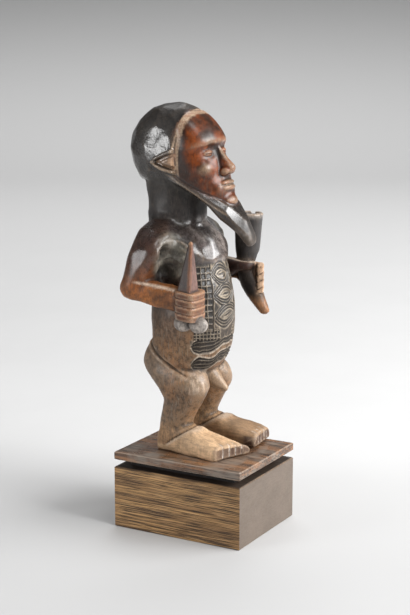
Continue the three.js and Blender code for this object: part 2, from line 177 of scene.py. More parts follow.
# Beard: [height, middle, front, back, half width in front, half width behind]
BEARD = [
    [87.8, 0, -20.2, -18.8, 1.2, 1.4],
    [89.2, 0, -21.2, -18.2, 2.4, 2.7],
    [92.5, 0, -20.9, -15.6, 3.3, 4.6],
    [97, 0, -18.9, -10.6, 4.8, 7.4],
    [101, 0, -16.9, -6, 6, 9.3],
    [105, 0, -14.4, -1.8, 7.4, 10.8],
    [110, 0, -11.8, 6, 9.2, 12.6],
    [114, 0, -8, 14.5, 10.8, 13.8],
    [117.5, 0, -4, 18, 11.8, 14],
]
BEARD_POWER = 3.6
BEARD_EDGE = [(8, 117.2), (-14, 103.4)]
BEARD_CHAMFER = 3.0

# The flats on both sides: the way each faces, and how far out it lies
CHEST_FACET = {"normal": (0.17, -0.86, 0.48), "at": 45.0}
HAIR_FACET = {"normal": (0.977, 0.046, 0.208), "at": 41.9}
BEARD_FACET = {"normal": (0.56, -0.74, 0.38), "at": 51.8}
ARM_FACET = {"normal": (0.976, 0.047, 0.21), "at": 47.85}

# Arms: the upper arm stands, and the forearm lies along [distance forward, middle, bottom, top, half width].
UPPER_ARM = [
    [68.5, 26.4, 16.6, 24.2, 3],
    [71, 26.3, 14.6, 25.4, 4.7],
    [76, 25.8, 12.4, 24.8, 5.4],
    [81, 25, 9.8, 23.8, 6],
    [86, 23.4, 6.8, 22.8, 7],
    [91, 20.2, 7, 22, 6.8],
    [95, 15.8, 10, 21.6, 5.4],
    [98.5, 9, 12, 19.4, 2.6],
]
FOREARM = [
    [-25.4, 26.3, 68.6, 73, 2.6],
    [-23.2, 26.4, 67, 75, 4.3],
    [-17, 26.2, 65.8, 75.2, 4.8],
    [-8, 25.3, 63.9, 74, 4.5],
    [0, 24.2, 62.8, 72.8, 4.3],
    [5, 24, 62.6, 72.6, 4.6],
]
ARM_POWER = 2.6
FIST = {
    "at": (23.9, 66.4),
    "front": -9.4,
    "back": -0.2,
    "half": 6.2,
    "pitch": 3.05,
    "fingers": 4,
    "fall": 0.12,
}
FIST_POWER = 4
LEFT_HAND = {"lift": 4.0, "turn": math.radians(14), "inner": 20.6, "reach": 1.16, "tall": 1.1}
# The row of finger ends over the horn: its reach to the photo's right, away from the camera and in height
FINGER_ENDS = {"right": (20.5, 23.4), "away": (10.2, 17.0), "height": (63.9, 76.4), "slant": 0.6}
LEFT_UNDERSIDE = [(-12, 62.4), (-2, 69.6), (2.5, 69.6), (9, 62)]     # [y, z] under the left hand and wrist
LEFT_THUMB = [
    [-5, 22, 68.4, 78.4, 4.6],
    [0, 20.4, 70.4, 78.2, 3.8],
    [4.5, 19.4, 73, 77.8, 3],
    [8.6, 20.6, 73.6, 77.4, 2.6],
    [10.2, 22.6, 74, 77, 2],
]

# What the hands hold
KNIFE = [
    [70, 25, -7.4, -1, 4],
    [91.8, 24, -5.9, -4.5, 0.7],
]
KNIFE_POWER = 30
POMMEL = {"x": 24, "z": 58, "radii": (3.6, 3.9, 3.4), "at": (-1.6, -8.8)}
HORN = [
    [54.8, 22.2, -16, -13.6, 1.3],
    [56.2, 22.2, -16.9, -12.4, 2.2],
    [61, 22, -15.1, -7.7, 3],
    [66, 21.8, -13.6, -4.4, 3.2],
    [70, 21.8, -11.8, -3, 3.6],
    [75, 22.6, -9.3, -2, 3.9],
    [79, 23.2, -9.7, -1.3, 4.4],
    [82, 23.6, -10.7, -0.7, 4.9],
    [90, 24.2, -11.4, -0.1, 5.4],
    [97.5, 24.6, -11.9, 0.2, 5.7],
]
HORN_MOUTH = {"radius": 4.2, "depth": 0.9}

POWER = 2.2

# The mesh: a box around the figure, and the edge lengths wanted in it
REACH = [(-34, -25, -2), (34, 38, 148)]
EDGE = {"plain": 1.2, "sharp": 0.62, "fine": 0.46, "hands": 0.38, "finest": 0.3}


# Forms

def smooth_rows(table, samples=240):
    """Places along a table's first column and the other columns there, on a smooth curve through its rows."""
    rows = np.array(table, float)
    place, value = rows[:, 0], rows[:, 1:]
    slope = np.empty_like(value)
    slope[1:-1] = (value[2:] - value[:-2]) / (place[2:] - place[:-2])[:, None]
    slope[0] = (value[1] - value[0]) / (place[1] - place[0])
    slope[-1] = (value[-1] - value[-2]) / (place[-1] - place[-2])
    at = np.linspace(place[0], place[-1], samples)
    i = np.clip(np.searchsorted(place, at, side="right") - 1, 0, len(place) - 2)
    gap = (place[i + 1] - place[i])[:, None]
    s = (at - place[i])[:, None] / gap
    start = (2 * s**3 - 3 * s**2 + 1) * value[i] + (s**3 - 2 * s**2 + s) * gap * slope[i]
    end = (3 * s**2 - 2 * s**3) * value[i + 1] + (s**3 - s**2) * gap * slope[i + 1]
    return at, start + end


def column(table, power=POWER):
    """The distance from a form with a rounded cross-section at each row of its table, negative inside it."""
    places, values = smooth_rows(table)

    def field(p):
        x, y, z = p
        columns = [np.interp(z, places, values[:, k]) for k in range(values.shape[1])]
        middle, front, back, half, *behind = columns
        depth = (back - front) / 2
        v = (y - (front + back) / 2) / depth
        width = half
        if behind:
            width = (half + behind[0]) / 2 + (behind[0] - half) / 2 * np.clip(v, -1, 1)
        u = np.abs(x - middle) / width
        v = np.abs(v)
        reach = (u**power + v**power) ** (1 / power) + TINY
        slope = np.hypot((u / reach) ** (power - 1) / width, (v / reach) ** (power - 1) / depth)
        inside = (reach - 1) / np.maximum(slope, TINY)
        return np.maximum(inside, np.maximum(places[0] - z, z - places[-1]))

    return field


def ellipsoid(at, radii):
    def field(p):
        q = [(value - centre) / radius for value, centre, radius in zip(p, at, radii)]
        reach = np.sqrt(sum(value**2 for value in q)) + TINY
        slope = np.sqrt(sum((value / radius) ** 2 for value, radius in zip(q, radii))) + TINY
        return reach * (reach - 1) / slope

    return field


def taper(start, end, radii):
    """The distance from a rod with round ends that thins from the first radius to the second."""
    start, end = np.array(start, float), np.array(end, float)
    along = end - start

    def field(p):
        q = [value - origin for value, origin in zip(p, start)]
        share = np.clip(sum(a * b for a, b in zip(q, along)) / (along @ along), 0, 1)
        away = np.sqrt(sum((a - share * b) ** 2 for a, b in zip(q, along)))
        return away - (radii[0] + (radii[1] - radii[0]) * share)

    return field


def lying(field):
    """A form laid down: its height points forward, its front and back become its bottom and top."""
    return lambda p: field((p[0], p[2], -p[1]))


def other_side(p):
    return -p[0], p[1], p[2]


def both_sides(p):
    """The place on the left side that a place on either side has its form from."""
    return np.abs(p[0]), p[1], p[2]


def through(table, at):
    """The value at each place on the straight lines through a table of places and values."""
    return np.interp(at, *np.array(table).T)


def in_face_frame(p):
    y, z = p[1] - FACE_PIVOT[1], p[2] - FACE_PIVOT[2]
    c, s = math.cos(FACE_TILT), math.sin(FACE_TILT)
    return p[0], c * y - s * z, s * y + c * z


def blend(a, b, k):
    """Both forms, with a hollow of about this width where they meet."""
    h = np.clip(0.5 + 0.5 * (b - a) / k, 0, 1)
    return b + (a - b) * h - k * h * (1 - h)


def common(a, b, k):
    """What both forms share, with its edge rounded."""
    return -blend(-a, -b, k)


def cut(a, b, k):
    return common(a, -b, k)


def chamfered(a, b, width):
    """What both forms share, with a flat bevel along its edge."""
    return np.maximum(np.maximum(a, b), (a + b + width * math.sqrt(0.5)) * math.sqrt(0.5))


def beyond(facet, p):
    """How far a place is outside a flat that the figure has on both sides."""
    a, b, c = facet["normal"]
    return a * np.abs(p[0]) + b * p[1] + c * p[2] - facet["at"]


def step(value, start, end):
    """0 before start, 1 after end, smooth between them."""
    t = np.clip((value - start) / (end - start), 0, 1)
    return t * t * (3 - 2 * t)


# The figure's forms

torso = column(TORSO)
neck = column(NECK)
yoke = ellipsoid(**YOKE)
armpit = ellipsoid(**ARMPIT)
pocket = ellipsoid(**POCKET)
scoop = ellipsoid(**SCOOP)
beside_chest = ellipsoid(**DUSTY)
leg_form = column(LEG)
genital = taper(GENITAL["base"], GENITAL["tip"], GENITAL["radii"])
cranium = ellipsoid(**CRANIUM)
face_form = column(FACE, FACE_POWER)
beard_form = column(BEARD, BEARD_POWER)
upper_arm = column(UPPER_ARM)
forearm = lying(column(FOREARM, ARM_POWER))
thumb = lying(column(LEFT_THUMB))
knife_blade = column(KNIFE, KNIFE_POWER)
horn_form = column(HORN)

# What the face is made of after its main form, with the width of each blend, below 0 where it is cut away
FACE_DETAILS = [
    (-1.2, ellipsoid((6.0, -16.6, 0.0), (4.2, 2.8, 3.2))),     # eye socket
    (2.0, ellipsoid((8.0, -10.6, -6.2), (3.6, 3.6, 3.4))),     # cheek
    (0.5, ellipsoid(EYE, (3.1, 2.1, 1.7))),
    (1.2, column(NOSE)),
    (0.8, ellipsoid((2.6, -16.9, -9.0), (1.6, 2.0, 1.5))),     # wing of the nose
    (-0.4, ellipsoid((1.7, -17.9, -10.5), (0.8, 1.1, 0.7))),     # nostril
    (2.0, ellipsoid((0, -13.2, -15.2), (6.2, 3.4, 4.6))),     # the swell behind the mouth
    (0.35, ellipsoid((0, -15.5, -13.525), (LIPS["half"], 1.9, 1.3))),     # upper lip
    (0.35, ellipsoid((0, -15.5, -15.625), (LIPS["half"], 1.9, 1.5))),     # lower lip
    (2.0, ellipsoid((0, -14.6, -21.2), (4.2, 3.0, 2.8))),     # chin
]


def above_ankle(y, z):
    """How far a place is above the slanting line where the leg stands in the foot."""
    return 0.83 * (z - ANKLE_CREASE["top"] + ANKLE_CREASE["slope"] * np.clip(y, 0, ANKLE_CREASE["heel"]))


def hip_crease(y, z):
    """How far a place is below the slanting line where the belly ends over the thighs."""
    return 0.87 * (through(HIP_CREASE, y) - z)


def trunk(p):
    side = both_sides(p)
    body = blend(torso(p), yoke(p), 3.5)
    body = blend(body, armpit(side), 4.0)
    body = cut(body, scoop(side), 1.4)
    body = common(body, hip_crease(p[1], p[2]), 0.8)
    body = common(body, beyond(CHEST_FACET, p), 0.4)
    return blend(body, neck(p), 2.2)


def arm(p, slope=0.0):
    """The left arm down to the wrist. Its forearm slopes by this much for each millimetre along it."""
    x, y, z = p
    lower = forearm((x, y, z - slope * (FOREARM[-1][0] - y)))
    upper = cut(common(upper_arm(p), beyond(ARM_FACET, p), 0.3), scoop(p), 1.0)
    return blend(upper, lower, 1.6)


def fist_place(p):
    """Coordinates in the left fist as if it stood level: its fingers' slope is taken out."""
    return p[0], p[1], p[2] - FIST["fall"] * p[1]


def fist_body(p):
    x, y, z = fist_place(p)
    (middle, height), half = FIST["at"], FIST["pitch"] * FIST["fingers"] / 2
    row = [middle, FIST["front"], FIST["back"], FIST["half"]]
    table = [[end, *row] for end in (height - half, height + half)]
    return common(column(table, FIST_POWER)((x, y, z)), np.abs(z - height) - half, 0.7)


def left_fist_frame(p):
    x0, z0 = FIST["at"]
    c, s = math.cos(LEFT_HAND["turn"]), math.sin(LEFT_HAND["turn"])
    x, z = p[0] - x0, (p[2] - z0 - LEFT_HAND["lift"]) / LEFT_HAND["tall"]
    return c * x - s * z + x0, p[1] / LEFT_HAND["reach"], s * x + c * z + z0


def finger_ends(p):
    """The ends of the left hand's fingers, closed over the horn, and a place's reach to the photo's right."""
    right = RIGHT[0] * p[0] + RIGHT[1] * p[1]
    away = RIGHT[0] * p[1] - RIGHT[1] * p[0]
    sides = []
    for name, value in (("right", right), ("away", away), ("height", p[2])):
        low, high = FINGER_ENDS[name]
        sides.append(np.abs(value - (low + high) / 2) - (high - low) / 2)
    return common(common(sides[0], sides[1], 0.9), sides[2], 0.9), right


def left_hand(p):
    fingers = cut(fist_body(left_fist_frame(p)), p[0] - LEFT_HAND["inner"], 0.4)
    fingers = blend(fingers, finger_ends(p)[0], 0.5)
    return blend(fingers, thumb(p), 0.8)


def trimmed_under(form, p):
    """What a form of the left hand or wrist keeps above the slanting cut under them."""
    return common(form, through(LEFT_UNDERSIDE, p[1]) - p[2], 0.6)


def knife(p):
    front, back = [ellipsoid((POMMEL["x"], y, POMMEL["z"]), POMMEL["radii"])(p) for y in POMMEL["at"]]
    return blend(knife_blade(p), blend(front, back, 0.8), 0.3)


def horn(p):
    top, middle, front, back = HORN[-1][:4]
    x, y, z = p
    mouth = np.maximum(np.hypot(x - middle, y - (front + back) / 2) - HORN_MOUTH["radius"],
                       top - HORN_MOUTH["depth"] - z)
    return cut(horn_form(p), mouth, 0.5)


def past_toes(p, toe_line):
    """How far a place is past the skewed line of the toes, and how far along it from the foot's middle."""
    angle = math.atan(toe_line["slope"])
    c, s = math.cos(angle), math.sin(angle)
    aside, ahead = p[0] - TOES["middle"], -p[1] - toe_line["front"]
    return s * aside + c * ahead, c * aside - s * ahead


def foot_of(p, toe_line):
    """The left foot, trimmed along the line of its toes."""
    x, y, z = p
    rise = toe_line["rise"] * np.clip(-y / FOOT[-1][0], 0, 1)
    foot = lying(column(FOOT, FOOT_POWER))((x, y, np.where(z > 2, 2 + (z - 2) * 6 / (6 + rise), z)))
    foot = common(foot, past_toes(p, toe_line)[0], 0.7)
    lift = 0.8 * step(-y, toe_line["front"] - 6, toe_line["front"])
    return common(foot, lift - z, 1.0)


def leg(p, toe_line):
    """The left leg with its foot, trimmed under the sole."""
    return np.maximum(blend(leg_form(p), foot_of(p, toe_line), 0.5), -p[2])


def beard_edge(p):
    """The distance above the slanting plane where the beard's strap ends under the face."""
    (y0, z0), (y1, z1) = BEARD_EDGE
    length = math.hypot(y0 - y1, z0 - z1)
    return ((p[2] - z0) * (y0 - y1) - (p[1] - y0) * (z0 - z1)) / length


def hairline(z):
    return through(HAIRLINE, z)


def face(p):
    side = both_sides(in_face_frame(p))
    shape = face_form(side)
    for width, form in FACE_DETAILS:
        shape = blend(shape, form(side), width) if width > 0 else cut(shape, form(side), -width)
    behind, half = p[1] - hairline(p[2]), BORDER["wide"] / 2
    border = np.maximum(cranium(p) + BORDER["low"], np.abs(behind + half) - half)
    border = np.maximum(border, BORDER["from"] - p[2])
    shape = blend(np.maximum(shape, behind - FACE_INSET), border, 0.6)
    return np.maximum(shape, -beard_edge(p) - FACE_INSET)


def inside_ear(p):
    """How far inside the ear's leaf-shaped outline a place is, and its share of the way from tip to base."""
    x, y, z = p
    (tip_y, tip_z), base = EAR["tip"], EAR["base"]
    along = np.clip((tip_y - y) / (tip_y - base), 0, 1)
    half = EAR["half"] * along ** EAR["curve"]
    here = (y > base - 0.5) & (y < tip_y + 0.4) & (np.abs(x) > 8)
    return np.where(here, half - np.abs(z - tip_z - 0.4 * along), -9), along


def ear_height(p):
    """How far the ear's rim, hollow and fold stand off the side of the head."""
    base = EAR["base"]
    inside, along = inside_ear(p)
    rim = EAR["rim"] * step(inside, -0.15, 0.35)
    hollow = (EAR["hollow"] - EAR["rim"]) * step(inside, EAR["wall"] - 0.25, EAR["wall"] + 0.35)
    fold = (EAR["fold"] - EAR["hollow"]) * step(inside, 2 * EAR["wall"] - 0.1, 2 * EAR["wall"] + 0.4)
    fold = fold * step(along, 0.45, 0.55)
    return (rim + hollow + fold) * step(p[1], base - 0.5, base)


def hair(p):
    _, y, z = p
    skull = cranium(p)
    edge = chamfered(skull, hairline(z) - y, HAIR_BEVEL)
    edge = common(edge, NAPE - z, 0.6)
    edge = common(edge, beyond(HAIR_FACET, p), 0.3)
    under = np.maximum(skull + HAIR_STEP, hairline(z) - y)
    return np.minimum(edge, under) - ear_height(p)


def beard(p):
    return common(chamfered(beard_form(p), beard_edge(p), BEARD_CHAMFER), beyond(BEARD_FACET, p), 0.3)


def parts_of(p):
    """The distance from each form of the figure."""
    mirror = other_side(p)
    slope = -LEFT_HAND["lift"] / (FOREARM[-1][0] - FOREARM[0][0])
    return {
        "trunk": trunk(p),
        "legs": np.minimum(leg(p, LEFT_TOE_LINE), leg(mirror, RIGHT_TOE_LINE)),
        "genital": genital(p),
        "right arm": arm(mirror),
        "left arm": trimmed_under(arm(p, slope), p),
        "right fist": fist_body(mirror),
        "left hand": trimmed_under(left_hand(p), p),
        "knife": knife(mirror),
        "horn": horn(p),
        "hair": hair(p),
        "face": face(p),
        "beard": beard(p),
    }


def whole(p):
    part = parts_of(p)
    body = blend(part["trunk"], part["legs"], 1.0)
    body = blend(body, part["genital"], 0.8)
    body = blend(body, np.minimum(part["right arm"], part["left arm"]), 2.6)
    body = cut(body, pocket(both_sides(p)), 1.5)
    held = blend(part["right arm"], part["right fist"], 0.8)
    held = blend(held, blend(part["left arm"], part["left hand"], 1.0), 0.1)
    body = np.minimum(body, held)
    body = blend(body, part["knife"], 0.3)
    body = blend(body, part["horn"], 0.3)
    head = blend(np.minimum(part["hair"], part["face"]), part["beard"], 0.3)
    return blend(body, head, 0.5)


# The mesh

def in_slabs(field, points, size=120000):
    """A field's values at many points, a slab of them at a time."""
    values = [field(tuple(points[i:i + size].T)) for i in range(0, len(points), size)]
    return np.concatenate(values)


def net(field, low, high, size):
    """A closed skin of triangles with one corner in each cell of a grid that the surface crosses."""
    axes = [np.arange(a, b + size, size) for a, b in zip(low, high)]
    shape = [len(axis) for axis in axes]
    grid = np.stack(np.meshgrid(*axes, indexing="ij"), -1).reshape(-1, 3)
    inside = (in_slabs(field, grid) < 0).reshape(shape)
    count = sum(inside[i:shape[0] - 1 + i, j:shape[1] - 1 + j, k:shape[2] - 1 + k].astype(int)
                for i, j, k in itertools.product((0, 1), repeat=3))
    crossed = (count > 0) & (count < 8)
    number = np.full(crossed.shape, -1)
    number[crossed] = np.arange(crossed.sum())
    points = np.argwhere(crossed) * size + np.array(low, float) + size / 2
    triangles = []
    for axis in range(3):
        order = (axis, (axis + 1) % 3, (axis + 2) % 3)
        solid = np.transpose(inside, order)
        cell = np.transpose(number, order)
        change = solid[:-1, 1:-1, 1:-1] != solid[1:, 1:-1, 1:-1]
        first, last = slice(None, -1), slice(1, None)
        corners = ((first, first), (last, first), (last, last), (first, last))
        ring = [cell[:, i, j][change] for i, j in corners]
        flip = ~solid[:-1, 1:-1, 1:-1][change]
        a, b, c, d = [np.where(flip, ring[-k % 4], ring[k]) for k in range(4)]
        triangles += [np.stack([a, b, c], -1), np.stack([a, c, d], -1)]
    return points, np.concatenate(triangles)


def slopes(field, points, reach=0.02):
    """A field's values and gradients at points."""
    value = in_slabs(field, points)
    gradient = np.empty_like(points)
    for axis in range(3):
        moved = points.copy()
        moved[:, axis] += reach
        gradient[:, axis] = (in_slabs(field, moved) - value) / reach
    return value, gradient


def settled(field, points, rounds, limit):
    """Points moved onto the surface, by no more than the limit in each round."""
    for _ in range(rounds):
        value, gradient = slopes(field, points)
        steep = np.maximum((gradient**2).sum(1), 0.09)
        move = gradient * (-value / steep)[:, None]
        length = np.linalg.norm(move, axis=1)
        points = points + move * np.minimum(1, limit / np.maximum(length, TINY))[:, None]
    return points


def edges_of(triangles):
    both = np.sort(np.concatenate([triangles[:, [0, 1]], triangles[:, [1, 2]], triangles[:, [2, 0]]]), axis=1)
    return np.unique(both, axis=0, return_inverse=True)


def mean_of_neighbours(values, edges):
    """The mean over each point's neighbours."""
    total = np.zeros((len(values), values.shape[1]))
    count = np.bincount(edges.ravel(), minlength=len(values))
    for a, b in ((0, 1), (1, 0)):
        for k in range(values.shape[1]):
            total[:, k] += np.bincount(edges[:, a], weights=values[edges[:, b], k], minlength=len(values))
    return total / np.maximum(count, 1)[:, None]


def refined(points, triangles, wanted):
    """One pass that halves every edge longer than wanted at its middle."""
    edges, place = edges_of(triangles)
    middle = points[edges].mean(1)
    length = np.linalg.norm(points[edges[:, 0]] - points[edges[:, 1]], axis=1)
    split = length > 1.35 * wanted(middle)
    number = np.full(len(edges), -1)
    number[split] = len(points) + np.arange(split.sum())
    halves = number[place.reshape(3, -1)].T
    made = [triangles[(halves < 0).all(1)]]
    for turn in range(3):
        a, b, c = np.roll(triangles, -turn, axis=1).T
        ab, bc, ca = np.roll(halves, -turn, axis=1).T
        one = (ab >= 0) & (bc < 0) & (ca < 0)
        made += [np.stack(t, -1)[one] for t in ((a, ab, c), (ab, b, c))]
        two = (ab >= 0) & (bc >= 0) & (ca < 0)
        made += [np.stack(t, -1)[two] for t in ((ab, b, bc), (a, ab, bc), (a, bc, c))]
    a, b, c = triangles.T
    ab, bc, ca = halves.T
    three = (halves >= 0).all(1)
    made += [np.stack(t, -1)[three] for t in ((a, ab, ca), (ab, b, bc), (ca, bc, c), (ab, bc, ca))]
    return np.concatenate([points, middle[split]]), np.concatenate(made)


def normals_of(points, triangles):
    a, b, c = [points[triangles[:, k]] for k in range(3)]
    face_normal = np.cross(b - a, c - a)
    total = np.zeros_like(points)
    for k in range(3):
        for axis in range(3):
            part = face_normal[:, axis]
            total[:, axis] += np.bincount(triangles[:, k], weights=part, minlength=len(points))
    return total / np.maximum(np.linalg.norm(total, axis=1), 1e-12)[:, None]


def wanted_edge(points):
    """The edge length wanted at each point: fine on carved forms, plain elsewhere."""
    p = tuple(points.T)
    x, y, z = p
    part = parts_of(p)
    q = in_face_frame(p)
    belly = (torso(p) < 0.6) & (y < 4) & (z > 34) & (z < 81) & (near_pattern(points) > 0)
    features = (part["face"] < 0.8) & (q[1] < -7) & (q[2] > -25) & (q[2] < 8)
    ears = (np.abs(x) > 11) & (y > 5.5) & (y < 20.5) & (z > 115) & (z < 128)
    hands = np.minimum(part["right fist"], part["left hand"]) < 0.7
    toes = (z < 8) & (y < -12)
    ankle = (np.abs(above_ankle(y, z)) < 1.6) & (y > -5) & (y < 13) & (z < 13)
    hip = (np.abs(hip_crease(y, z)) < 1.8) & (y > 0) & (y < 24) & (np.abs(x) > 5) & (z < 50)
    forearm_top = (part["right arm"] < 0.6) & (z > 73) & (z < 78) & (y < 18)
    held = (part["knife"] < 0.6) | (part["beard"] < 0.6) | ((part["horn"] < 0.6) & (z > 94))
    border = (np.abs(y - hairline(z) + 1) < 2.4) & (z > 112) & (part["hair"] < 1.5)
    edge = np.full(len(points), EDGE["plain"])
    for name, place in (("finest", belly), ("fine", features | ears), ("hands", hands | toes),
                        ("sharp", held | border | ankle | hip | forearm_top)):
        edge = np.where(place, np.minimum(edge, EDGE[name]), edge)
    return edge


def figure_skin():
    plain = EDGE["plain"]
    points, triangles = net(whole, *REACH, plain)
    for _ in range(4):
        edges, _ = edges_of(triangles)
        points = settled(whole, points + 0.6 * (mean_of_neighbours(points, edges) - points), 1, plain)
    points = settled(whole, points, 2, plain)
    for _ in range(4):
        before = len(points)
        points, triangles = refined(points, triangles, wanted_edge)
        if len(points) == before:
            break
        edges, _ = edges_of(triangles)
        points = settled(whole, points + 0.4 * (mean_of_neighbours(points, edges) - points), 2, 0.5)
    return settled(whole, points, 1, 0.3), triangles


# Objects

def linked(name, data):
    """A new object in the scene with this data."""
    made = bpy.data.objects.new(name, data)
    bpy.context.scene.collection.objects.link(made)
    return made


def mesh_object(name, points, triangles):
    """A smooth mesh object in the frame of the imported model, from points in the figure's frame."""
    mesh = bpy.data.meshes.new(name)
    placed = (points + np.array([FIGURE_SHIFT, 0, SOLE_LEVEL])) * MM
    mesh.vertices.add(len(placed))
    mesh.vertices.foreach_set("co", placed.ravel())
    mesh.loops.add(triangles.size)
    mesh.loops.foreach_set("vertex_index", triangles.ravel())
    mesh.polygons.add(len(triangles))
    mesh.polygons.foreach_set("loop_start", np.arange(0, triangles.size, 3))
    mesh.polygons.foreach_set("use_smooth", np.ones(len(triangles), bool))
    mesh.update(calc_edges=True)
    mesh.validate()
    return linked(name, mesh)


# Carving pressed into the skin

def near(distance, soft=0.35):
    """1 on a form, falling off away from it."""
    return np.exp(-np.maximum(distance, 0) / soft)


def noise_of_cell(cell, seed):
    """Three numbers from 0 to 1 for each cell of a grid, the same on every run."""
    mix = cell @ np.array([[127.1, 269.5, 113.5], [311.7, 183.3, 271.9], [74.7, 246.1, 124.6]]) + seed
    value = np.sin(mix) * 43758.5453
    return value - np.floor(value)


def facets(points, size, seed=0.0):
    """Flats left by the knife: 0 in the middle of each and up to about 1 on the ridges between them."""
    q = points / np.array(size, float)
    cell = np.floor(q)
    nearest = np.full(len(q), 9.0)
    for shift in itertools.product((-1, 0, 1), repeat=3):
        corner = cell + np.array(shift, float)
        away = ((q - corner - noise_of_cell(corner, seed)) ** 2).sum(1)
        nearest = np.minimum(nearest, away)
    return nearest


def cloud(points, size, seed=0.0):
    """Smooth noise from -1 to 1 with features of about this size."""
    q = points / np.array(size, float)
    cell = np.floor(q)
    t = q - cell
    t = t * t * (3 - 2 * t)
    total = np.zeros(len(q))
    for shift in itertools.product((0, 1), repeat=3):
        share = np.prod(np.where(np.array(shift, bool), t, 1 - t), axis=1)
        total += share * noise_of_cell(cell + np.array(shift, float), seed)[:, 0]
    return 2 * total - 1


def drift(points, size, seed=0.0):
    """Smooth noise from -1 to 1 over three sizes, the largest of them this one."""
    size = np.array(size, float)
    shares = (0.55, 0.30, 0.15)
    return sum(share * cloud(points, size / 2**k, seed + k) for k, share in enumerate(shares))


def line(value, at, half):
    """1 on a line, falling to 0 at half its width on either side."""
    return np.clip(1 - np.abs(value - at) / half, 0, 1)


# The pattern on the belly, laid out by distance around it and height. Lozenges stand in a column between two
# columns of small squares, over two pairs of flame-like bands.
BELLY_RADIUS = 17
BELLY_AXIS = 7.5
BELLY_FRONT = 7     # the pattern's cuts lie in front of this
LOZENGES = {"middle": -1.6, "half": 5.4, "rise": 2.3, "edge": 7.2, "low": 51.2, "high": 80.2}
LOZENGE_ROWS = [(75.4, -0.06), (67.2, 0.05), (58.6, 0.14)]     # the height of each middle, and its slant
LOZENGE_LINES = (1.12, 1.62, 2.15)
SQUARES = {
    "from": 7.7,
    "to": 15.4,
    "low": 50.5,
    "high": 79.0,
    "cell": (2.5, 2.6),
    "start": (7.7, 50.5),
    "wall": 0.10,
}
HATCHING = {
    "from": 4.6,
    "to": 16.6,
    "low": 48.0,
    "high": 53.0,
    "cell": (1.5, 1.5),
    "start": (0, 0),
    "wall": 0.16,
}
BANDS = {
    "middle": 3.0,
    "end": 22.0,
    "upper": [(0, 46.6), (4, 45.3), (8.6, 46.7), (13.7, 48.0), (22, 49.4)],
    "lower": [(0, 38.6), (5, 37.6), (10.4, 38.6), (16, 40.4), (22, 41.8)],
    "half": [(0, 0.4), (1.2, 1.9), (3.5, 2.9), (9, 2.6), (22, 2.2)],
    "ridges": (0.0, 0.62),
    "outline": 1.22,
    "bottom": 35,
    "top": 48.6,
}
GROOVE = 0.46
RINGS = {"at": (18.5, 9, 77), "pitch": 2.3}     # the tool marks around the pocket between chest and arm


def lozenge_lines(across, z):
    """The grooves around the eye-shaped lozenges and the line that frames their column."""
    level = np.full(len(z), 9.0)
    for height, slant in LOZENGE_ROWS:
        rise = np.abs(z - height - slant * across) / LOZENGES["rise"]
        level = np.minimum(level, rise + (across / LOZENGES["half"]) ** 2)
    cuts = np.clip(1.7 * sum(line(level, at, 0.24) for at in LOZENGE_LINES), 0, 1)
    pupil = 0.8 * line(level, 0.0, 0.3)
    frame_line = line(np.abs(across), LOZENGES["edge"] + 0.6, 0.45)
    cuts = np.where(np.abs(across) < LOZENGES["edge"], np.maximum(cuts, pupil), frame_line)
    return cuts * (z > LOZENGES["low"]) * (z < LOZENGES["high"])


def cells_of(grid, away, z):
    """1 inside each cell of a grid, 0 on the walls between the cells and outside the grid."""
    places = [(value - start) / size for value, start, size in zip((away, z), grid["start"], grid["cell"])]
    from_middle = [np.abs(place - np.floor(place) - 0.5) for place in places]
    inside = (away > grid["from"]) & (away < grid["to"]) & (z > grid["low"]) & (z < grid["high"])
    return inside * step(0.5 - grid["wall"] - np.maximum(*from_middle), -0.06, 0.08)


def square_cuts(away, z):
    """The small squares beside the lozenges, over the finer hatching below them."""
    squares, hatching = [cells_of(grid, away, z) for grid in (SQUARES, HATCHING)]
    return np.where(z < SQUARES["low"] + SQUARES["cell"][1], 0.8 * hatching, squares)


def band_levels(around, z):
    """How far out each wavy band a place is, 1 at the band's edge, and how far in from the bands' ends."""
    inward = BANDS["end"] - np.abs(around - BANDS["middle"])
    half = through(BANDS["half"], inward)
    levels = []
    for name in ("upper", "lower"):
        centre = through(BANDS[name], inward) + 0.55 * np.sin(inward * 0.62 + len(name))
        levels.append(np.abs(z - centre) / half)
    return levels, inward


def band_lines(around, z):
    levels, inward = band_levels(around, z)
    cuts = np.zeros(len(z))
    for level in levels:
        ridges = np.maximum.reduce([line(level, at, 0.13) for at in BANDS["ridges"]])
        cuts = np.maximum(cuts, step(1.06 - level, 0, 0.16) * (1 - ridges) * (inward > 0))
    return cuts


def band_edges(points):
    """The pale line around each wavy band, 0 to 1."""
    around, z = belly_place(points)
    levels, inward = band_levels(around, z)
    edges = np.maximum.reduce([line(level, BANDS["outline"], 0.2) for level in levels])
    return edges * (inward > -0.3) * (points[:, 1] < BELLY_FRONT) * (z < BANDS["top"])


def around_belly(points):
    return BELLY_RADIUS * np.arctan2(points[:, 0], BELLY_AXIS - points[:, 1])


def belly_place(points):
    """Each point's place around the belly and its height, made a little uneven, as a hand cuts."""
    around = around_belly(points) + 0.28 * cloud(points, 2.6, 3.0)
    return around, points[:, 2] + 0.30 * cloud(points, 2.6, 8.0)


def belly_cuts(points):
    """How deep the belly's pattern is at each point, 0 to 1."""
    around, z = belly_place(points)
    across = around - LOZENGES["middle"]
    cuts = lozenge_lines(across, z)
    cuts = np.maximum(cuts, square_cuts(np.abs(across), z))
    cuts = np.where(z < BANDS["top"], band_lines(around, z), cuts)
    return cuts * (points[:, 1] < BELLY_FRONT) * (0.8 + 0.25 * cloud(points, 4.0, 5.0))


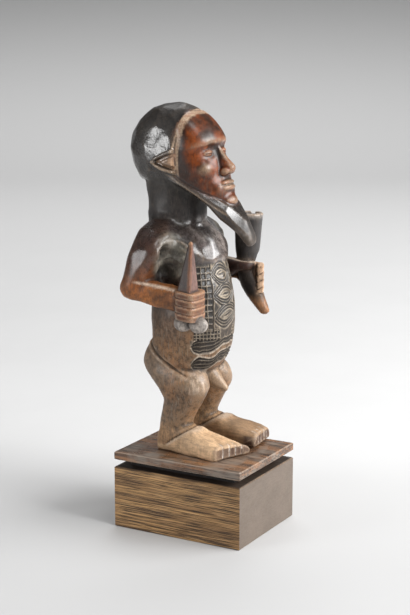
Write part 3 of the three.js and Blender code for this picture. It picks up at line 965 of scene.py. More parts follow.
def near_pattern(points):
    """1 where the belly's pattern lies."""
    z = points[:, 2]
    around = around_belly(points)
    away = np.abs(around - LOZENGES["middle"])
    upper = (away < SQUARES["to"] + 0.6) & (z > HATCHING["low"]) & (z < LOZENGES["high"])
    lower = (np.abs(around - BANDS["middle"]) < BANDS["end"]) & (z > BANDS["bottom"]) & (z <= BANDS["top"])
    return (upper | lower).astype(float)


def finger_phase(p):
    """Which finger of the fist a point is on, counted upward, with the share of the way up it."""
    return (fist_place(p)[2] - FIST["at"][1]) / FIST["pitch"] + FIST["fingers"] / 2


def toe_cuts(p, toe_line):
    """The grooves between the toes of the left foot, 0 to 1."""
    ahead, across = past_toes(p, toe_line)
    across = across / TOES["pitch"]
    grooves = line(np.abs(across - np.round(across)), 0.5, 0.13)
    grooves = grooves * (np.abs(across) < TOES["grooves"] / 2 + 0.1)
    return grooves * step(ahead, -TOES["reach"], -TOES["reach"] + 1.5) * step(p[2], 0.3, 1.0)


# The knife marks of each form: the size of a flat along x, y and z, and how far its ridges stand out
MARKS = {
    "hair": ((5.5, 5.5, 5.5), 0.85),
    "beard": ((6, 6, 9), 0.45),
    "trunk": ((6, 6, 8), 0.60),
    "legs": ((6.5, 6.5, 9), 0.65),
    "right arm": ((5, 5, 8), 0.50),
    "left arm": ((5, 5, 8), 0.50),
    "right fist": ((4, 4, 4), 0.10),
    "left hand": ((4, 4, 4), 0.10),
    "horn": ((5, 5, 16), 0.35),
    "knife": ((5, 5, 9), 0.10),
    "face": ((7, 7, 7), 0.05),
}


def shares_of(part):
    """How much of each point belongs to each form, and to both arms."""
    share = {name: near(distance) for name, distance in part.items()}
    total = sum(share.values())
    share = {name: value / total for name, value in share.items()}
    share["arms"] = share["right arm"] + share["left arm"]
    return share


def carved_hands(p, part, share):
    """The fingers of both hands, and where their ends, their upper edges and the thumb are."""
    x, _, z = p
    left_place, by_thumb = left_fist_frame(p), thumb(p)
    ends, to_right = finger_ends(p)
    ends = near(ends, 0.3)
    slanted = z - FINGER_ENDS["slant"] * (to_right - FINGER_ENDS["right"][1]) - FINGER_ENDS["height"][0]
    left = np.where(ends > 0.3, slanted / FIST["pitch"], finger_phase(left_place))
    on_left = near(fist_body(left_place), 0.3) * (part["left hand"] < 0.4) * (x > LEFT_HAND["inner"] + 0.8)
    on_left = np.maximum(on_left, ends) * (by_thumb > 0.3)
    on_right = share["right fist"] * (part["knife"] > 0.2)
    out, edge = np.zeros((2, len(x)))
    for phase, mask in ((finger_phase(other_side(p)), on_right), (left, on_left)):
        f = phase - np.floor(phase)
        on = mask * (phase > 0) * (phase < FIST["fingers"])
        out += on * (0.34 * f - 0.17 - 0.22 * line(f, 0.06, 0.12))
        edge = np.maximum(edge, on * step(f, 0.70, 0.84))
    on_thumb = np.maximum(near(by_thumb, 0.4), step(LEFT_HAND["inner"] + 0.6 - x, 0, 0.5))
    thumb_mask = share["left hand"] * on_thumb * (1 - ends)
    return out, {"finger ends": ends, "finger edge": edge, "thumb": thumb_mask}


def carved_creases(p, share):
    """The creases over the thighs and around the ankles, each with a raised lip beside it."""
    x, y, z = p
    below_hip, over_ankle = hip_crease(y, z), above_ankle(y, z)
    on_hip = step(np.abs(x), 4, 8) * step(y, 0, 4) * step(-y, -25, -20) * (share["legs"] + share["trunk"])
    on_hip = on_hip * (z < 50)
    on_ankle = share["legs"] * step(ANKLE_CREASE["heel"] - y, 0, 2) * step(y, -5, -2)
    out = on_hip * (0.45 * line(below_hip, 1.3, 1.1) - 0.5 * line(below_hip, 0.0, 0.6))
    out += on_ankle * (0.35 * line(over_ankle, -1.0, 1.0) - 0.30 * line(over_ankle, 0.3, 0.7))
    return out, {
        "hip lip": on_hip * line(below_hip, 1.3, 0.9),
        "hip crease": on_hip * line(below_hip, 0.0, 0.45),
        "cuff": on_ankle * line(over_ankle, 0.4, 0.5),
        "cuff lip": on_ankle * line(over_ankle, -0.5, 0.6),
    }


def carved_beside_chest(points, part, share):
    """Rings of tool marks around the pocket between chest and arm."""
    side = both_sides(points.T)
    web = step(-beside_chest(side), -1.5, 1.5) * (share["trunk"] + share["arms"]) * (part["left hand"] > 0.8)
    from_pocket = np.sqrt(sum((value - at) ** 2 for value, at in zip(side, RINGS["at"])))
    from_pocket = from_pocket + 0.5 * cloud(points, 4.0, 2.0)
    return 0.20 * web * np.cos(from_pocket * 2 * np.pi / RINGS["pitch"]), {"web": web}


def carved_face(p, share):
    """The lines of the eyelids and between the lips."""
    across, forward, z = both_sides(in_face_frame(p))
    eye_x = across - EYE[0]
    lids = line(z, EYELIDS_MEET + 0.04 * eye_x**2, 0.32) * (np.abs(eye_x) < 2.7)
    crease = 0.5 * line(z, 1.5 - 0.12 * eye_x**2, 0.3) * (np.abs(eye_x) < 2.6)
    mouth = line(z, LIPS["z"] + 0.02 * across**2 - 0.15, 0.3) * (across < LIPS["half"] + 0.4)
    out = -share["face"] * (forward < -9) * (0.32 * np.maximum(lids, crease) + 0.3 * mouth)
    return out, {"lids": lids * share["face"], "mouth": mouth * share["face"]}


def carve(points, triangles):
    """Presses the carving into the skin. Returns the new points and the masks that the materials read."""
    p = tuple(points.T)
    part = parts_of(p)
    share = shares_of(part)
    out = np.zeros(len(points))
    for number, (name, (size, height)) in enumerate(MARKS.items()):
        out += share[name] * height * (facets(points, size, number * 7.3) - 0.28)
    cuts = belly_cuts(points) * near(torso(p), 0.2) * share["trunk"]
    left_toes = toe_cuts(p, LEFT_TOE_LINE) * (p[0] > 0)
    right_toes = toe_cuts(other_side(p), RIGHT_TOE_LINE) * (p[0] < 0)
    toes = np.maximum(left_toes, right_toes) * share["legs"]
    out -= GROOVE * cuts + 0.30 * toes
    masks = {"cuts": cuts, "toes": toes}
    for relief, made in (carved_hands(p, part, share), carved_creases(p, share),
                         carved_beside_chest(points, part, share), carved_face(p, share)):
        out += relief
        masks.update(made)
    return points + normals_of(points, triangles) * out[:, None], share, masks


def bending(points, triangles):
    """How sharply the skin bends at each point, per millimetre: above 0 on ridges, below 0 in hollows."""
    edges, _ = edges_of(triangles)
    normal = normals_of(points, triangles)
    length = ((points[edges[:, 0]] - points[edges[:, 1]]) ** 2).sum(1)
    count = np.bincount(edges.ravel(), minlength=len(points))
    squared = np.bincount(edges.ravel(), weights=np.repeat(length, 2), minlength=len(points))
    squared = squared / np.maximum(count, 1)
    offset = ((points - mean_of_neighbours(points, edges)) * normal).sum(1)
    bend = (4 * offset / np.maximum(squared, 1e-6))[:, None]
    for _ in range(2):
        bend = 0.5 * bend + 0.5 * mean_of_neighbours(bend, edges)
    return bend[:, 0]


# The figure's colours

def colour(text):
    """A linear colour from its sRGB hex digits."""
    values = [int(text[i:i + 2], 16) / 255 for i in (0, 2, 4)]
    return [v / 12.92 if v <= 0.04045 else ((v + 0.055) / 1.055) ** 2.4 for v in values] + [1]


# By height, the trunk, the legs and the horn, and along the arms from the shoulder down and forward
TRUNK_COLOURS = [(34, "684f3c"), (44, "6c543e"), (55, "5b4534"), (62, "3d312a"), (72, "2c2421"),
                 (80, "2c2625"), (88, "302a28"), (98, "292423"), (112, "2a2521")]
LEG_COLOURS = [(3, "8d6d4f"), (11, "84684c"), (16, "6f563f"), (24, "68503b"), (34, "78634f"), (46, "5d4837")]
RIGHT_FOOT_COLOUR = "bf9f7d"
# The left foot stands back in shade, so its wood is given a darker colour than the right foot's: painted
# shade
SHADED_LEFT_FOOT_COLOUR = "84694e"
ARM_COLOURS = [(0, "2c211d"), (12, "38201a"), (24, "75431f"), (32, "8b5528"), (40, "7b4c29"), (52, "6e472f")]
HORN_COLOURS = [(54, "7f4f34"), (58, "5f3c29"), (62, "221d1b"), (76, "1c1918"), (82, "272322"),
                (95, "292524"), (97, "8d8680")]
FORM_COLOURS = {
    "hair": "282421",
    "face": "6f3b22",
    "beard": "282320",
    "genital": "8c735a",
    "right fist": "6e4831",
    "left hand": "9d7a60",
    "knife": "30221e",
}

# Thin forms bend everywhere, so this much of the wear on their ridges is held back
THIN_FORMS = {"beard": 0.8, "hair": 0.7, "arms": 0.55, "knife": 1, "horn": 0.8, "left hand": 1}

# How strongly each mask wears the wood light, and how dark shade is painted into each crease, cut and hollow
WEAR = {
    "soft ridge": 0.55,
    "border": 0.95,
    "rim": 0.9,
    "ear inside": 0.8,
    "brow": 0.5,
    "lips": 0.75,
    "finger edge": 0.7,
    "knife ridge": 0.12,
    "knife tip": 0.8,
    "pattern light": 0.15,
    "arm edge": 0.3,
    "thumb edge": 0.3,
    "horn rim": 0.6,
    "strap ridge": 0.9,
    "hip lip": 0.75,
    # the ankle's lip and the knee: partly wear, partly painted highlight
    "cuff lip": 0.95,
    "knee": 0.6,
    "thigh top": 0.7,
    "scratches": 0.3,
}
# Painted shade in creases, cuts and hollows, and along the dark lines of the eyes, mouth and ears
PAINTED_SHADE = {
    "valley": 0.8,
    "cuts": 0.85,
    "lids": 1,
    "mouth": 0.8,
    "ear gap": 0.8,
    "ear line": 0.8,
    "hip crease": 0.65,
    "cuff": 0.2,
}


def rgb(text):
    return np.array(colour(text)[:3])


def blend_of(table, place):
    """A colour at each place along a table of places and colours."""
    at = [row[0] for row in table]
    values = np.array([rgb(row[1]) for row in table])
    return np.stack([np.interp(place, at, values[:, k]) for k in range(3)], -1)


def tinted(ground, share, text):
    """The ground with this share of another colour mixed in."""
    return ground + share[:, None] * (rgb(text) - ground)


def plain_wood(points, share, masks):
    """The wood's colour on each form, along its height or its length."""
    x, y, z = points.T
    along_arm = np.clip(96 - z, 0, 30) + np.clip(14 - y, 0, 30) * step(78 - z, -2, 2)
    foot_patches = step(drift(points, (6.0, 9.0, 4.0), 53.0), 0.05, 0.4)
    legs = tinted(blend_of(LEG_COLOURS, z), masks["foot"] * (x < 0), RIGHT_FOOT_COLOUR)
    # Painted shade: the left foot darker than the right
    legs = tinted(legs, masks["foot"] * (x > 0), SHADED_LEFT_FOOT_COLOUR)
    legs = tinted(legs, 0.4 * masks["foot"] * foot_patches, "7a5a3c")
    forms = {
        "legs": legs,
        "trunk": blend_of(TRUNK_COLOURS, z),
        "horn": blend_of(HORN_COLOURS, z),
        "arms": blend_of(ARM_COLOURS, along_arm),
        **{name: rgb(text) for name, text in FORM_COLOURS.items()},
    }
    return sum(share[name][:, None] * value for name, value in forms.items())


def ground_of(points, share, masks):
    """The wood's colour at each point with its large patches, some of them painted shade or painted
    highlight, before fine mottling, stains, wear and the shade painted into hollows.
    """
    _, y, z = points.T
    ground = plain_wood(points, share, masks)
    fine = drift(points, 3.2, 47.0)
    ground *= (1 + 0.48 * drift(points, 8.0, 31.0) + 0.25 * fine)[:, None]
    for mask, size, seed, low, high, text in (
        (0.38 * np.clip(masks["fleshy"] + 0.25 * share["arms"], 0, 1), 9.0, 5.0, 0.05, 0.45, "8a5f3a"),
        (0.40 * masks["fleshy"], 5.0, 83.0, 0.15, 0.5, "4f443b"),
        (0.45 * share["arms"], 6.0, 61.0, 0.0, 0.35, "38231a"),
    ):
        ground = tinted(ground, mask * step(drift(points, size, seed), low, high), text)
    dark, light = rgb("2a1204"), rgb("682f08")
    face = dark + step(drift(points, 6.0, 11.0), -0.3, 0.35)[:, None] * (light - dark)
    ground += masks["red"][:, None] * (face * (1 + 0.35 * fine)[:, None] - ground)

    speckled = step(fine, -0.35, 0.35)
    for mask, text in (
        (masks["thumb"], "2a150e"),
        (0.6 * masks["finger ends"], "c4a68a"),
        (masks["pommel"], "958d86"),
        # Painted shade: the right fist darker toward its back and wrist, lighter at its front
        (0.8 * share["right fist"] * step(y, -7.5, -2.5), "4a2a1c"),
        # Painted light: the blade's face toward the lamp lighter than its other face
        (0.6 * masks["lit knife face"], "7d6058"),
        (0.9 * masks["knife ridge"], "60371c"),
        (0.45 * share["horn"] * step(-z, -64, -60), "a9784f"),
        (0.9 * share["legs"] * (z < 5) * step(-y, 13, 16), "44302a"),
        (0.8 * masks["toes"] * np.clip(0.6 + 0.9 * cloud(points, 0.8, 47.0), 0, 1), "efe6dc"),
        (0.55 * masks["grey"] * speckled, "a39a92"),
        (0.45 * masks["grey"] * (1 - speckled), "4a433f"),
        (0.8 * masks["dust"], "5d594f"),
        (0.6 * masks["dust"] * speckled, "9a968b"),
        # The chest lighter and speckled: worn greyish patina with a painted highlight over it
        (0.5 * masks["chest"], "6b605c"),
        (0.45 * masks["chest"] * speckled, "a89e97"),
        (0.92 * masks["pattern"], "322d28"),
        (masks["pattern light"], "8a7f6f"),
        # Light worn edges; on the knee and the ankle's lip partly a painted highlight
        (masks["light edge"], "d3c2b0"),
    ):
        ground = tinted(ground, mask, text)
    return np.clip(ground, 0, 1)


def give(mesh, name, values):
    """Keeps one number, or one colour, for each corner of the mesh under a name that the material reads."""
    if values.ndim == 1:
        made = mesh.attributes.new(name, "FLOAT", "POINT")
        made.data.foreach_set("value", values.astype(np.float32))
    else:
        made = mesh.attributes.new(name, "FLOAT_COLOR", "POINT")
        full = np.concatenate([values, np.ones((len(values), 1))], axis=1)
        made.data.foreach_set("color", full.astype(np.float32).ravel())


def head_masks(p, share):
    """The border before the hair, the parts of the ears, the brow, the lips and the face's red wood."""
    _, y, z = p
    head, behind = share["hair"] + share["face"], y - hairline(z)
    border = (share["face"] + share["hair"] * step(-behind, -0.9, -0.5)) * step(behind, -2.3, -1.9)
    border = border * step(-behind, -1.4, -1.0) * (z > 114) * (cranium(p) > -1.6)
    leaf, wall = inside_ear(p)[0], EAR["wall"]
    ear = step(leaf, -0.6, -0.2) * head
    across, forward, height = both_sides(in_face_frame(p))
    lips = step(5.4 - across, 0, 1.5) * line(height, LIPS["z"], 3.2) * (forward < -13.5)
    return {
        "border": border,
        "ear": ear,
        "rim": ear * step(wall - leaf, -0.2, 0.2) * np.where(z < EAR["tip"][1] + 0.6, 0.95, 0.25),
        "ear inside": step(leaf, wall + 0.1, wall + 0.5) * head,
        "ear line": (line(leaf, wall + 0.05, 0.35) + 0.7 * line(leaf, 2 * wall - 0.1, 0.35)) * ear,
        "ear gap": line(behind, 0.9, 0.35) * share["hair"] * (z > 126),
        "brow": share["face"] * line(height, 4.0, 1.3) * (forward < -12) * (across < 10.5),
        "lips": share["face"] * lips,
        "red": share["face"] * step(-behind, 0.9, 1.6),
    }


def body_masks(points, share, masks):
    """The edges and places of the body, and of what the hands hold, that are worn or coloured apart."""
    p = tuple(points.T)
    x, y, z = p
    from_corner = np.abs(np.abs(x) - 28.4) + np.abs(y + 7.0) - 0.24 * (z - 70)
    tops = [[(row[0], row[3]) for row in table] for table in (FOREARM, LEFT_THUMB)]
    forearm_top, thumb_top = [through(top, -y) for top in tops]
    thigh_top = share["legs"] * np.exp(-(((z - 33.5) / 2.6) ** 2)) * step(12 - y, 0, 4) * (np.abs(x) > 6)
    # The knee's light patch: wear with a painted highlight
    knee = np.exp(-(((np.abs(x) - 13.5) / 2.6) ** 2 + ((z - 28.5) / 4.5) ** 2))
    pommel = share["knife"] * (z < 62.5)
    by_toes = share["legs"] * (z < 8) * step(-y, 12.5, 15.5)
    return {
        # the blade's face toward the lamp, painted lighter
        "lit knife face": share["knife"] * step(-y - 7.2 + 0.07 * (z - 70), -0.7, -0.3) * (z > 70),
        "knife ridge": share["knife"] * line(from_corner, 0, 0.85) * (z > 70),
        "knife tip": share["knife"] * step(z, 90.0, 91.4),
        "pommel": pommel,
        "grey": np.clip(pommel + 0.7 * share["beard"] * step(-z, -97, -91), 0, 1),
        "arm edge": share["right arm"] * line(z - forearm_top, -0.9, 0.7) * step(-y, -19, -15) * (x < -25.0),
        "thumb edge": masks["thumb"] * step(z - thumb_top, -0.45, -0.15),
        "thigh top": thigh_top * step(cloud(points, (1.2, 1.2, 3.0), 37.0), -0.2, 0.5),
        "knee": knee * share["legs"] * (y < 0),
        "horn rim": share["horn"] * step(z, 96.3, 97.2),
        "strap ridge": share["beard"] * line(beard_edge(p), 0.1 - BEARD_CHAMFER, 0.5) * step(y, -14, -10),
        "scratches": by_toes * cloud(points, (0.7, 0.7, 2.0), 4.0),
        "hip crease": masks["hip crease"] * (0.7 + 0.6 * cloud(points, 4.0, 13.0)),
        "foot": step(-above_ankle(y, z), -0.1, 0.3),
        "fleshy": share["trunk"] * step(-z, -64, -52) + share["legs"] * (z > 9),
        # the chest's patch of worn patina and painted highlight
        "chest": share["trunk"] * step(9.5 - np.hypot(x, (z - 89) * 1.1), -3, 2) * (y < 6),
    }


def pattern_masks(points, triangles, bend, cuts, on_pattern):
    """The dark ground of the belly's pattern, and the light wood between its cuts."""
    x, _, z = points.T
    beside = beside_cuts(triangles, cuts)
    by_lozenges = step(LOZENGES["half"] - np.abs(x - LOZENGES["middle"]), -0.5, 0.5) * (z > LOZENGES["low"])
    light = 0.15 + 0.4 * by_lozenges + 0.5 * step(bend, 0.15, 0.6)
    light = light * (0.75 + 0.6 * cloud(points, 2.2, 19.0)) * step(0.45 - cuts, 0, 0.3)
    return {
        "pattern": on_pattern * np.maximum.reduce([cuts, beside, z > HATCHING["low"]]),
        "pattern light": np.clip(on_pattern * beside * light, 0, 1),
    }


def strongest(masks, strengths):
    """The largest of some masks, each times its own strength."""
    return np.clip(np.maximum.reduce([strength * masks[name] for name, strength in strengths.items()]), 0, 1)


def sheen_of(p, share, masks):
    """How glossy the wood is, and where it is polished on top of that."""
    _, y, z = p
    neck_and_back = np.maximum(step(z, 97, 100), step(y, 12, 16))
    gloss = ((1 - 0.6 * step(z, 133, 140)) * share["hair"]
             + (1 - 0.75 * step(-z, -102, -92)) * share["beard"]
             + (0.2 + 0.5 * step(z, 78, 84)) * share["horn"]
             + (0.9 - 0.65 * step(-z, -80, -74)) * share["arms"]
             + step(z, 45, 80) * (1 - 0.75 * neck_and_back) * share["trunk"]
             + 0.6 * share["face"] + 0.25 * share["legs"] * (z > 10) + 0.7 * masks["knee"]
             + 0.2 * share["knife"] + 0.3 * share["right fist"] + 0.4 * share["genital"])
    polish = (share["beard"] * step(z, 98, 104) + masks["chest"]
              + share["hair"] * step(9 - np.hypot(y - 15.5, z - 130), -3, 2))
    return np.clip(gloss, 0, 1), np.clip(polish, 0, 1)


def paint(mesh, points, triangles, share, masks):
    """Works out where the wood is worn light, where shade is painted into its hollows, and where it is dusty,
    glossy or rough.
    """
    p = tuple(points.T)
    _, y, z = p
    bend = bending(points, triangles)
    on_pattern = share["trunk"] * near_pattern(points)
    masks.update(head_masks(p, share))
    masks.update(body_masks(points, share, masks))
    masks.update(pattern_masks(points, triangles, bend, masks["cuts"], on_pattern))

    soft_ridge = step(bend, 0.10, 0.55) * (1 - share["left arm"] * step(-y, -12, -6)) * (1 - 0.8 * on_pattern)
    soft_ridge = soft_ridge * (1 - 0.9 * near(np.abs(scoop(both_sides(p))), 2.5))
    for name, less in THIN_FORMS.items():
        soft_ridge = soft_ridge * (1 - less * share[name])
    valley = step(-bend, 0.08, 0.5) * (1 - 0.9 * masks["ear"]) * (1 - 0.75 * share["right fist"])
    valley = valley * (1 - masks["toes"])
    streaks = step(cloud(points, (0.9, 0.9, 3.5), 29.0), -0.1, 0.5)
    # Light streaks on the knee, hip and thigh; on the knee partly a painted highlight
    streaked = 0.6 * masks["knee"] + 0.45 * masks["hip lip"] + 0.3 * masks["thigh top"]
    dust = (0.8 + 0.35 * cloud(points, 3.0, 71.0)) * masks["web"] * (1 - 0.45 * step(z, 86, 91))
    dust = np.clip(dust + 0.35 * valley * share["trunk"] * (z > 60), 0, 1)
    # Light worn edges; the ankle's lip partly a painted highlight
    light_edge = 0.85 * masks["arm edge"] + 0.6 * masks["thumb edge"] + 0.6 * masks["cuff lip"]
    light_edge = light_edge + streaked * streaks
    light_edge = light_edge + 0.45 * share["trunk"] * (1 - masks["cuts"]) * band_edges(points)
    masks.update({
        "soft ridge": soft_ridge,
        "valley": valley,
        "dust": dust,
        "light edge": np.clip(light_edge, 0, 1),
    })
    gloss, polish = sheen_of(p, share, masks)
    warm = (masks["knife ridge"] + 0.7 * masks["finger edge"] + 0.5 * masks["ear inside"]
            + 0.4 * share["arms"] + 0.3 * share["face"] * (1 - masks["border"]))
    for name, values in {
        "ground": ground_of(points, share, masks),
        "wear": np.where(masks["cuts"] > 0.3, 0.0, strongest(masks, WEAR)),
        # the painted shade in creases, cuts and hollows
        "hollow": strongest(masks, PAINTED_SHADE),
        "gloss": gloss * (1 - 0.8 * dust),
        "polish": polish * (1 - dust),
        "rough hair": share["hair"],
        "warm": np.clip(warm, 0, 1),
        "fleshy": masks["fleshy"],
        "dusty foot": share["legs"] * step(-above_ankle(y, z), 0, 0.5),
    }.items():
        give(mesh, name, values)


def beside_cuts(triangles, cuts):
    """1 within about two millimetres of a groove, fading to 0 away from it."""
    edges, _ = edges_of(triangles)
    spread = cuts[:, None]
    for _ in range(6):
        spread = np.maximum(spread, mean_of_neighbours(spread, edges))
    return step(spread[:, 0], 0.01, 0.08)


# The figure

smooth_points, triangles = figure_skin()
points, share, masks = carve(smooth_points, triangles)
figure = mesh_object("carved_figure", points, triangles)
paint(figure.data, points, triangles, share, masks)
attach(figure, "root")
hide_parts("figure")


# Materials

class Material:
    """A node material under construction."""

    def __init__(self, name):
        self.made = bpy.data.materials.new(name)
        self.made.use_nodes = True
        self.tree = self.made.node_tree
        self.shader = self.tree.nodes["Principled BSDF"]
        self.place = self.add("ShaderNodeTexCoord").outputs["Object"]

    def add(self, kind, **settings):
        node = self.tree.nodes.new(kind)
        for name, value in settings.items():
            setattr(node, name, value)
        return node

    def connect(self, value, socket):
        if isinstance(value, bpy.types.NodeSocket):
            self.tree.links.new(value, socket)
        else:
            socket.default_value = value

    def attribute(self, name, output="Fac"):
        return self.add("ShaderNodeAttribute", attribute_name=name).outputs[output]

    def stretched(self, size):
        """Coordinates that run from 0 to 1 over this many millimetres along each axis."""
        node = self.add("ShaderNodeMapping")
        self.connect(self.place, node.inputs["Vector"])
        node.inputs["Scale"].default_value = [1 / (length * MM) for length in size]
        return node.outputs["Vector"]

    def noise(self, size, detail=3.0, rough=0.55, twist=0.0):
        """Cloudy noise around 0.5 with features of this size in millimetres, one number or one per axis."""
        size = (size,) * 3 if isinstance(size, (int, float)) else size
        node = self.add("ShaderNodeTexNoise")
        self.connect(self.stretched(size), node.inputs["Vector"])
        node.inputs["Scale"].default_value = 1.0
        node.inputs["Detail"].default_value = detail
        node.inputs["Roughness"].default_value = rough
        node.inputs["Distortion"].default_value = twist
        return node.outputs["Fac"]

    def between(self, value, low, high, start=0.0, end=1.0):
        """start where the value is low, end where it is high, smooth between them."""
        node = self.add("ShaderNodeMapRange", interpolation_type="SMOOTHSTEP")
        self.connect(value, node.inputs["Value"])
        for name, number in (("From Min", low), ("From Max", high), ("To Min", start), ("To Max", end)):
            node.inputs[name].default_value = number
        return node.outputs["Result"]

    def worked_out(self, operation, a, b):
        node = self.add("ShaderNodeMath", operation=operation)
        self.connect(a, node.inputs[0])
        self.connect(b, node.inputs[1])
        return node.outputs[0]

    def times(self, a, b):
        return self.worked_out("MULTIPLY", a, b)

    def plus(self, a, b):
        return self.worked_out("ADD", a, b)

    def size_of(self, value):
        return self.worked_out("ABSOLUTE", value, 0)

    def mixed(self, share, a, b, kind="MIX"):
        node = self.add("ShaderNodeMix", data_type="RGBA", blend_type=kind)
        self.connect(share, node.inputs["Factor"])
        self.connect(a, node.inputs[6])
        self.connect(b, node.inputs[7])
        return node.outputs[2]

    def layered(self, tint, *layers):
        """The tint under layers, each a value, its low and its high, the share there, and a colour."""
        for value, low, high, most, text in layers:
            tint = self.mixed(self.between(value, low, high, 0, most), tint, colour(text))
        return tint

    def axes_of(self, vector):
        node = self.add("ShaderNodeSeparateXYZ")
        self.connect(vector, node.inputs[0])
        return node.outputs

    def relief(self, height, strength, distance):
        node = self.add("ShaderNodeBump")
        self.connect(height, node.inputs["Height"])
        node.inputs["Strength"].default_value = strength
        node.inputs["Distance"].default_value = distance * MM
        return node.outputs["Normal"]

    def finish(self, tint, roughness, normal, **plain):
        self.connect(tint, self.shader.inputs["Base Color"])
        self.connect(roughness, self.shader.inputs["Roughness"])
        self.connect(normal, self.shader.inputs["Normal"])
        for name, value in plain.items():
            self.shader.inputs[name.replace("_", " ")].default_value = value
        return self.made


def carved_wood():
    m = Material("old carved wood")
    ground = m.attribute("ground", "Color")
    wear, hollow, gloss, polish, rough_hair, warm, fleshy, dusty_foot = [m.attribute(name) for name in (
        "wear", "hollow", "gloss", "polish", "rough hair", "warm", "fleshy", "dusty foot")]
    mottle = m.noise(1.9, detail=5, rough=0.66)
    grain = m.noise((0.45, 0.45, 5.0), detail=3, rough=0.6)
    specks = m.noise(0.45, detail=2, rough=0.6)

    uneven = m.plus(m.times(mottle, 0.6), m.times(grain, 0.4))
    along_foot = m.noise((0.9, 5.0, 0.9), detail=4, rough=0.6)
    plain, strong = m.between(uneven, 0.39, 0.61, 0.58, 1.36), m.between(uneven, 0.40, 0.60, 0.46, 1.46)
    strong = m.mixed(fleshy, plain, strong)
    shade = m.plus(m.times(strong, m.between(dusty_foot, 0, 1, 1.0, 0.4)),
                   m.times(m.between(along_foot, 0.38, 0.62, 0.42, 0.72), dusty_foot))
    tint = m.mixed(1.0, ground, shade, "MULTIPLY")
    stains = m.times(m.between(mottle, 0.57, 0.70), m.between(fleshy, 0, 1, 0.2, 0.5))
    tint = m.mixed(stains, tint, colour("2c2622"))
    rubbed = m.times(m.between(grain, 0.46, 0.34), m.between(fleshy, 0, 1, 0.08, 0.4))
    tint = m.mixed(rubbed, tint, colour("a2917e"))

    worn = m.mixed(warm, colour("b39b82"), colour("b8865f"))
    worn = m.mixed(m.between(specks, 0.4, 0.62, 0, 0.6), worn, colour("7d6552"))
    tint = m.mixed(m.times(wear, m.between(mottle, 0.38, 0.60, 1.0, 0.55)), tint, worn)
    # Painted shade: creases, cuts and hollows darkened toward near-black
    tint = m.mixed(m.times(hollow, 0.88), tint, colour("130f0d"))

    rough = m.plus(m.times(gloss, -0.36), m.between(mottle, 0.3, 0.7, 0.54, 0.68))
    rough = m.plus(rough, m.times(hollow, 0.15))
    pits = m.times(specks, m.between(rough_hair, 0, 1, 0.25, 0.8))
    dents = m.times(m.noise(1.1, detail=2, rough=0.5), m.times(rough_hair, 1.3))
    height = m.plus(m.plus(m.times(pits, 0.5), dents), m.plus(m.times(mottle, 0.45), m.times(grain, 0.3)))
    m.connect(m.plus(m.times(gloss, 0.28), m.times(polish, 0.6)), m.shader.inputs["Coat Weight"])
    m.connect(m.relief(height, 0.45, 0.18), m.shader.inputs["Coat Normal"])
    return m.finish(tint, rough, m.relief(height, 0.55, 0.2),
                    Specular_IOR_Level=0.3, Coat_IOR=1.75, Coat_Roughness=0.2)


def block_wood():
    """Streaky brown wood with its grain from front to back, plain grey end grain at front and back, and its
    top painted dark as shade under the plate.
    """
    m = Material("streaky block wood")
    bands = m.noise((14.0, 60.0, 2.2), detail=3, twist=0.3)
    streaks = m.noise((2.2, 34.0, 0.5), detail=3, rough=0.6, twist=0.25)
    dashes = m.noise((0.9, 15.0, 0.25), detail=2, rough=0.5)
    smears = m.noise((9.0, 9.0, 5.0), detail=5)
    scratches = m.noise((0.5, 5.0, 5.0), detail=3)
    long_side = m.layered(
        colour("b58d5c"),
        (bands, 0.40, 0.60, 1, "85643f"),
        (streaks, 0.49, 0.57, 0.85, "3d2c1e"),
        (dashes, 0.53, 0.60, 0.85, "1d1510"),
        (dashes, 0.42, 0.34, 0.5, "cfa878"),
    )
    ends = m.layered(colour("6c6056"), (smears, 0.3, 0.7, 1, "64594f"), (scratches, 0.58, 0.7, 0.2, "96897c"))
    facing = m.axes_of(m.add("ShaderNodeNewGeometry").outputs["True Normal"])
    across, along = [m.size_of(facing[axis]) for axis in ("X", "Y")]
    corner = m.times(m.between(along, 0.3, 0.6), m.between(across, 0.3, 0.6))
    tint = m.mixed(m.between(along, 0.4, 0.9), long_side, ends)
    tint = m.mixed(corner, tint, colour("2a1f18"))
    # Painted shade: the top face, under the plate, darker
    tint = m.layered(tint, (facing["Z"], 0.6, 0.9, 1, "3a3029"))
    rough = m.between(streaks, 0.4, 0.6, 0.42, 0.56)
    height = m.plus(streaks, m.times(dashes, 0.5))
    return m.finish(tint, rough, m.relief(height, 0.25, 0.1), Specular_IOR_Level=0.34)


def plate_wood():
    """Dark red-brown wood, lighter along its chamfered edges: some wear and a painted highlight."""
    m = Material("worn plate wood")
    bands = m.noise((4.0, 40.0, 2.0), detail=3, twist=0.3)
    streaks = m.noise((0.8, 12.0, 0.45), detail=4, rough=0.6)
    blotches = m.noise(9.0, detail=4)
    tint = m.layered(
        colour("8a6345"),
        (bands, 0.40, 0.60, 1, "5e4737"),
        (blotches, 0.45, 0.62, 0.6, "827a70"),
        (streaks, 0.50, 0.60, 0.8, "241a14"),
    )
    slant = m.size_of(m.axes_of(m.add("ShaderNodeNewGeometry").outputs["True Normal"])["Z"])
    # Painted highlight, with some wear, on the slanted faces of the chamfered edges
    edge = m.times(m.between(slant, 0.2, 0.5), m.between(slant, 0.95, 0.8))
    tint = m.mixed(m.times(edge, m.between(streaks, 0.4, 0.6, 0.15, 0.5)), tint, colour("b7a798"))
    rough = m.between(blotches, 0.35, 0.65, 0.22, 0.40)
    return m.finish(tint, rough, m.relief(streaks, 0.2, 0.08))


def shadow_wood():
    # Near-black wood for the gap under the plate: painted shadow
    m = Material("dark spacer")
    mottle = m.noise(3.0)
    tint = m.layered(colour("14100e"), (mottle, 0.4, 0.6, 1, "221b17"))
    return m.finish(tint, 0.75, m.relief(mottle, 0.1, 0.05))


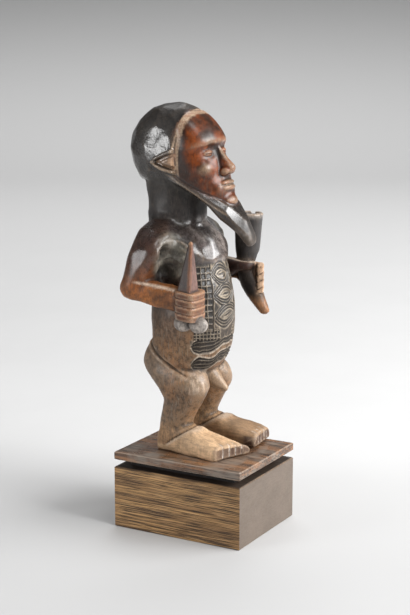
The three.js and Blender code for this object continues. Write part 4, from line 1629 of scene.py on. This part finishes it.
def floor_paint():
    m = Material("pale floor")
    mottle = m.noise(60.0)
    place = m.axes_of(m.place)
    away = m.plus(m.times(place["X"], AWAY[0]), m.times(place["Y"], AWAY[1]))
    # Painted light fall-off: darker toward the camera, lighter further back, and darker up the backdrop
    tint = m.layered(
        colour("d2d2d2"),
        (mottle, 0.3, 0.7, 1, "d0d0d0"),
        (away, 0.14, -0.08, 1, "bdbdbd"),
        (away, 0.3, 1.0, 1, "dcdcdc"),
        (place["Z"], 0.0, 0.3, 1, "8f8f8f"),
    )
    return m.finish(tint, 0.75, m.relief(mottle, 0.02, 0.1))


figure.data.materials.append(carved_wood())
for node_name, made in (("plinth_block", block_wood()), ("plinth_plate", plate_wood()),
                        ("plinth_spacer", shadow_wood())):
    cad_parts[node_name].data.materials.clear()
    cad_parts[node_name].data.materials.append(made)


# Stage, in metres

BEND = {"from": 1.2, "radius": 0.9, "steps": 24}     # where the floor curves up behind the object
CAMERA = {
    "at": (-0.5330, -0.3019, 0.2227),
    "right": (*RIGHT, 0),
    "up": (0.179, 0.102, 0.979),
    "back": (-0.852, -0.482, 0.206),
    "focal pixels": 1500,
    "frame pixels": 615,
}
AIM = (0, 0, 0.09)
# Each light's place, what it aims at, its width and height, and its watts
LIGHTS = {
    "key": ((0.07, -0.99, 0.56), AIM, (0.70, 0.60), 17),
    "left": ((-0.84, 0.58, 0.26), AIM, (0.36, 0.50), 4.4),
    "top": ((-0.22, -0.45, 1.05), AIM, (0.32, 0.32), 2.5),
    "right": ((0.60, -0.76, 0.54), AIM, (0.46, 0.50), 7),
    "backdrop": ((0.85, 0.48, 1.40), (0.75, 0.42, 0), (0.8, 0.8), 9),
}
WORLD_LIGHT = 0.25


def stage_floor():
    """A pale floor that curves up into a backdrop behind the object."""
    profile = [(-1.6, 0.0)]
    for k in range(BEND["steps"] + 1):
        angle = math.pi / 2 * k / BEND["steps"]
        run = BEND["from"] + BEND["radius"] * math.sin(angle)
        profile.append((run, BEND["radius"] * (1 - math.cos(angle))))
    profile.append((BEND["from"] + BEND["radius"], 3.2))
    away, across = [Vector((*way, 0)).normalized() for way in (AWAY, RIGHT)]
    vertices = [tuple(away * run + across * side + Vector((0, 0, height)))
                for run, height in profile for side in (-3.0, 3.0)]
    faces = [(a, a + 1, a + 3, a + 2) for a in range(0, 2 * len(profile) - 2, 2)]
    mesh = bpy.data.meshes.new("floor")
    mesh.from_pydata(vertices, [], faces)
    mesh.polygons.foreach_set("use_smooth", [True] * len(faces))
    floor = linked("floor", mesh)
    floor.data.materials.append(floor_paint())


def area_light(name, at, aim, size, watts):
    light = bpy.data.lights.new(name, "AREA")
    light.shape = "RECTANGLE"
    light.size, light.size_y = size
    light.energy = watts
    made = linked(name, light)
    made.location = at
    made.rotation_euler = (Vector(aim) - Vector(at)).to_track_quat("-Z", "Y").to_euler()


def camera():
    """The camera at the photograph's place and angle."""
    data = bpy.data.cameras.new("camera")
    data.sensor_width = 36
    data.lens = data.sensor_width * CAMERA["focal pixels"] / CAMERA["frame pixels"]
    made = linked("camera", data)
    turn = Matrix([CAMERA[way] for way in ("right", "up", "back")]).transposed().to_4x4()
    made.matrix_world = Matrix.Translation(Vector(CAMERA["at"])) @ turn
    bpy.context.scene.camera = made


def studio():
    """An even pale surround, and colours shown as they are."""
    world = bpy.data.worlds.new("studio")
    world.use_nodes = True
    background = world.node_tree.nodes["Background"]
    background.inputs["Color"].default_value = (1, 1, 1, 1)
    background.inputs["Strength"].default_value = WORLD_LIGHT
    bpy.context.scene.world = world
    bpy.context.scene.view_settings.view_transform = "Standard"


stage_floor()
for name, settings in LIGHTS.items():
    area_light(name, *settings)
camera()
studio()
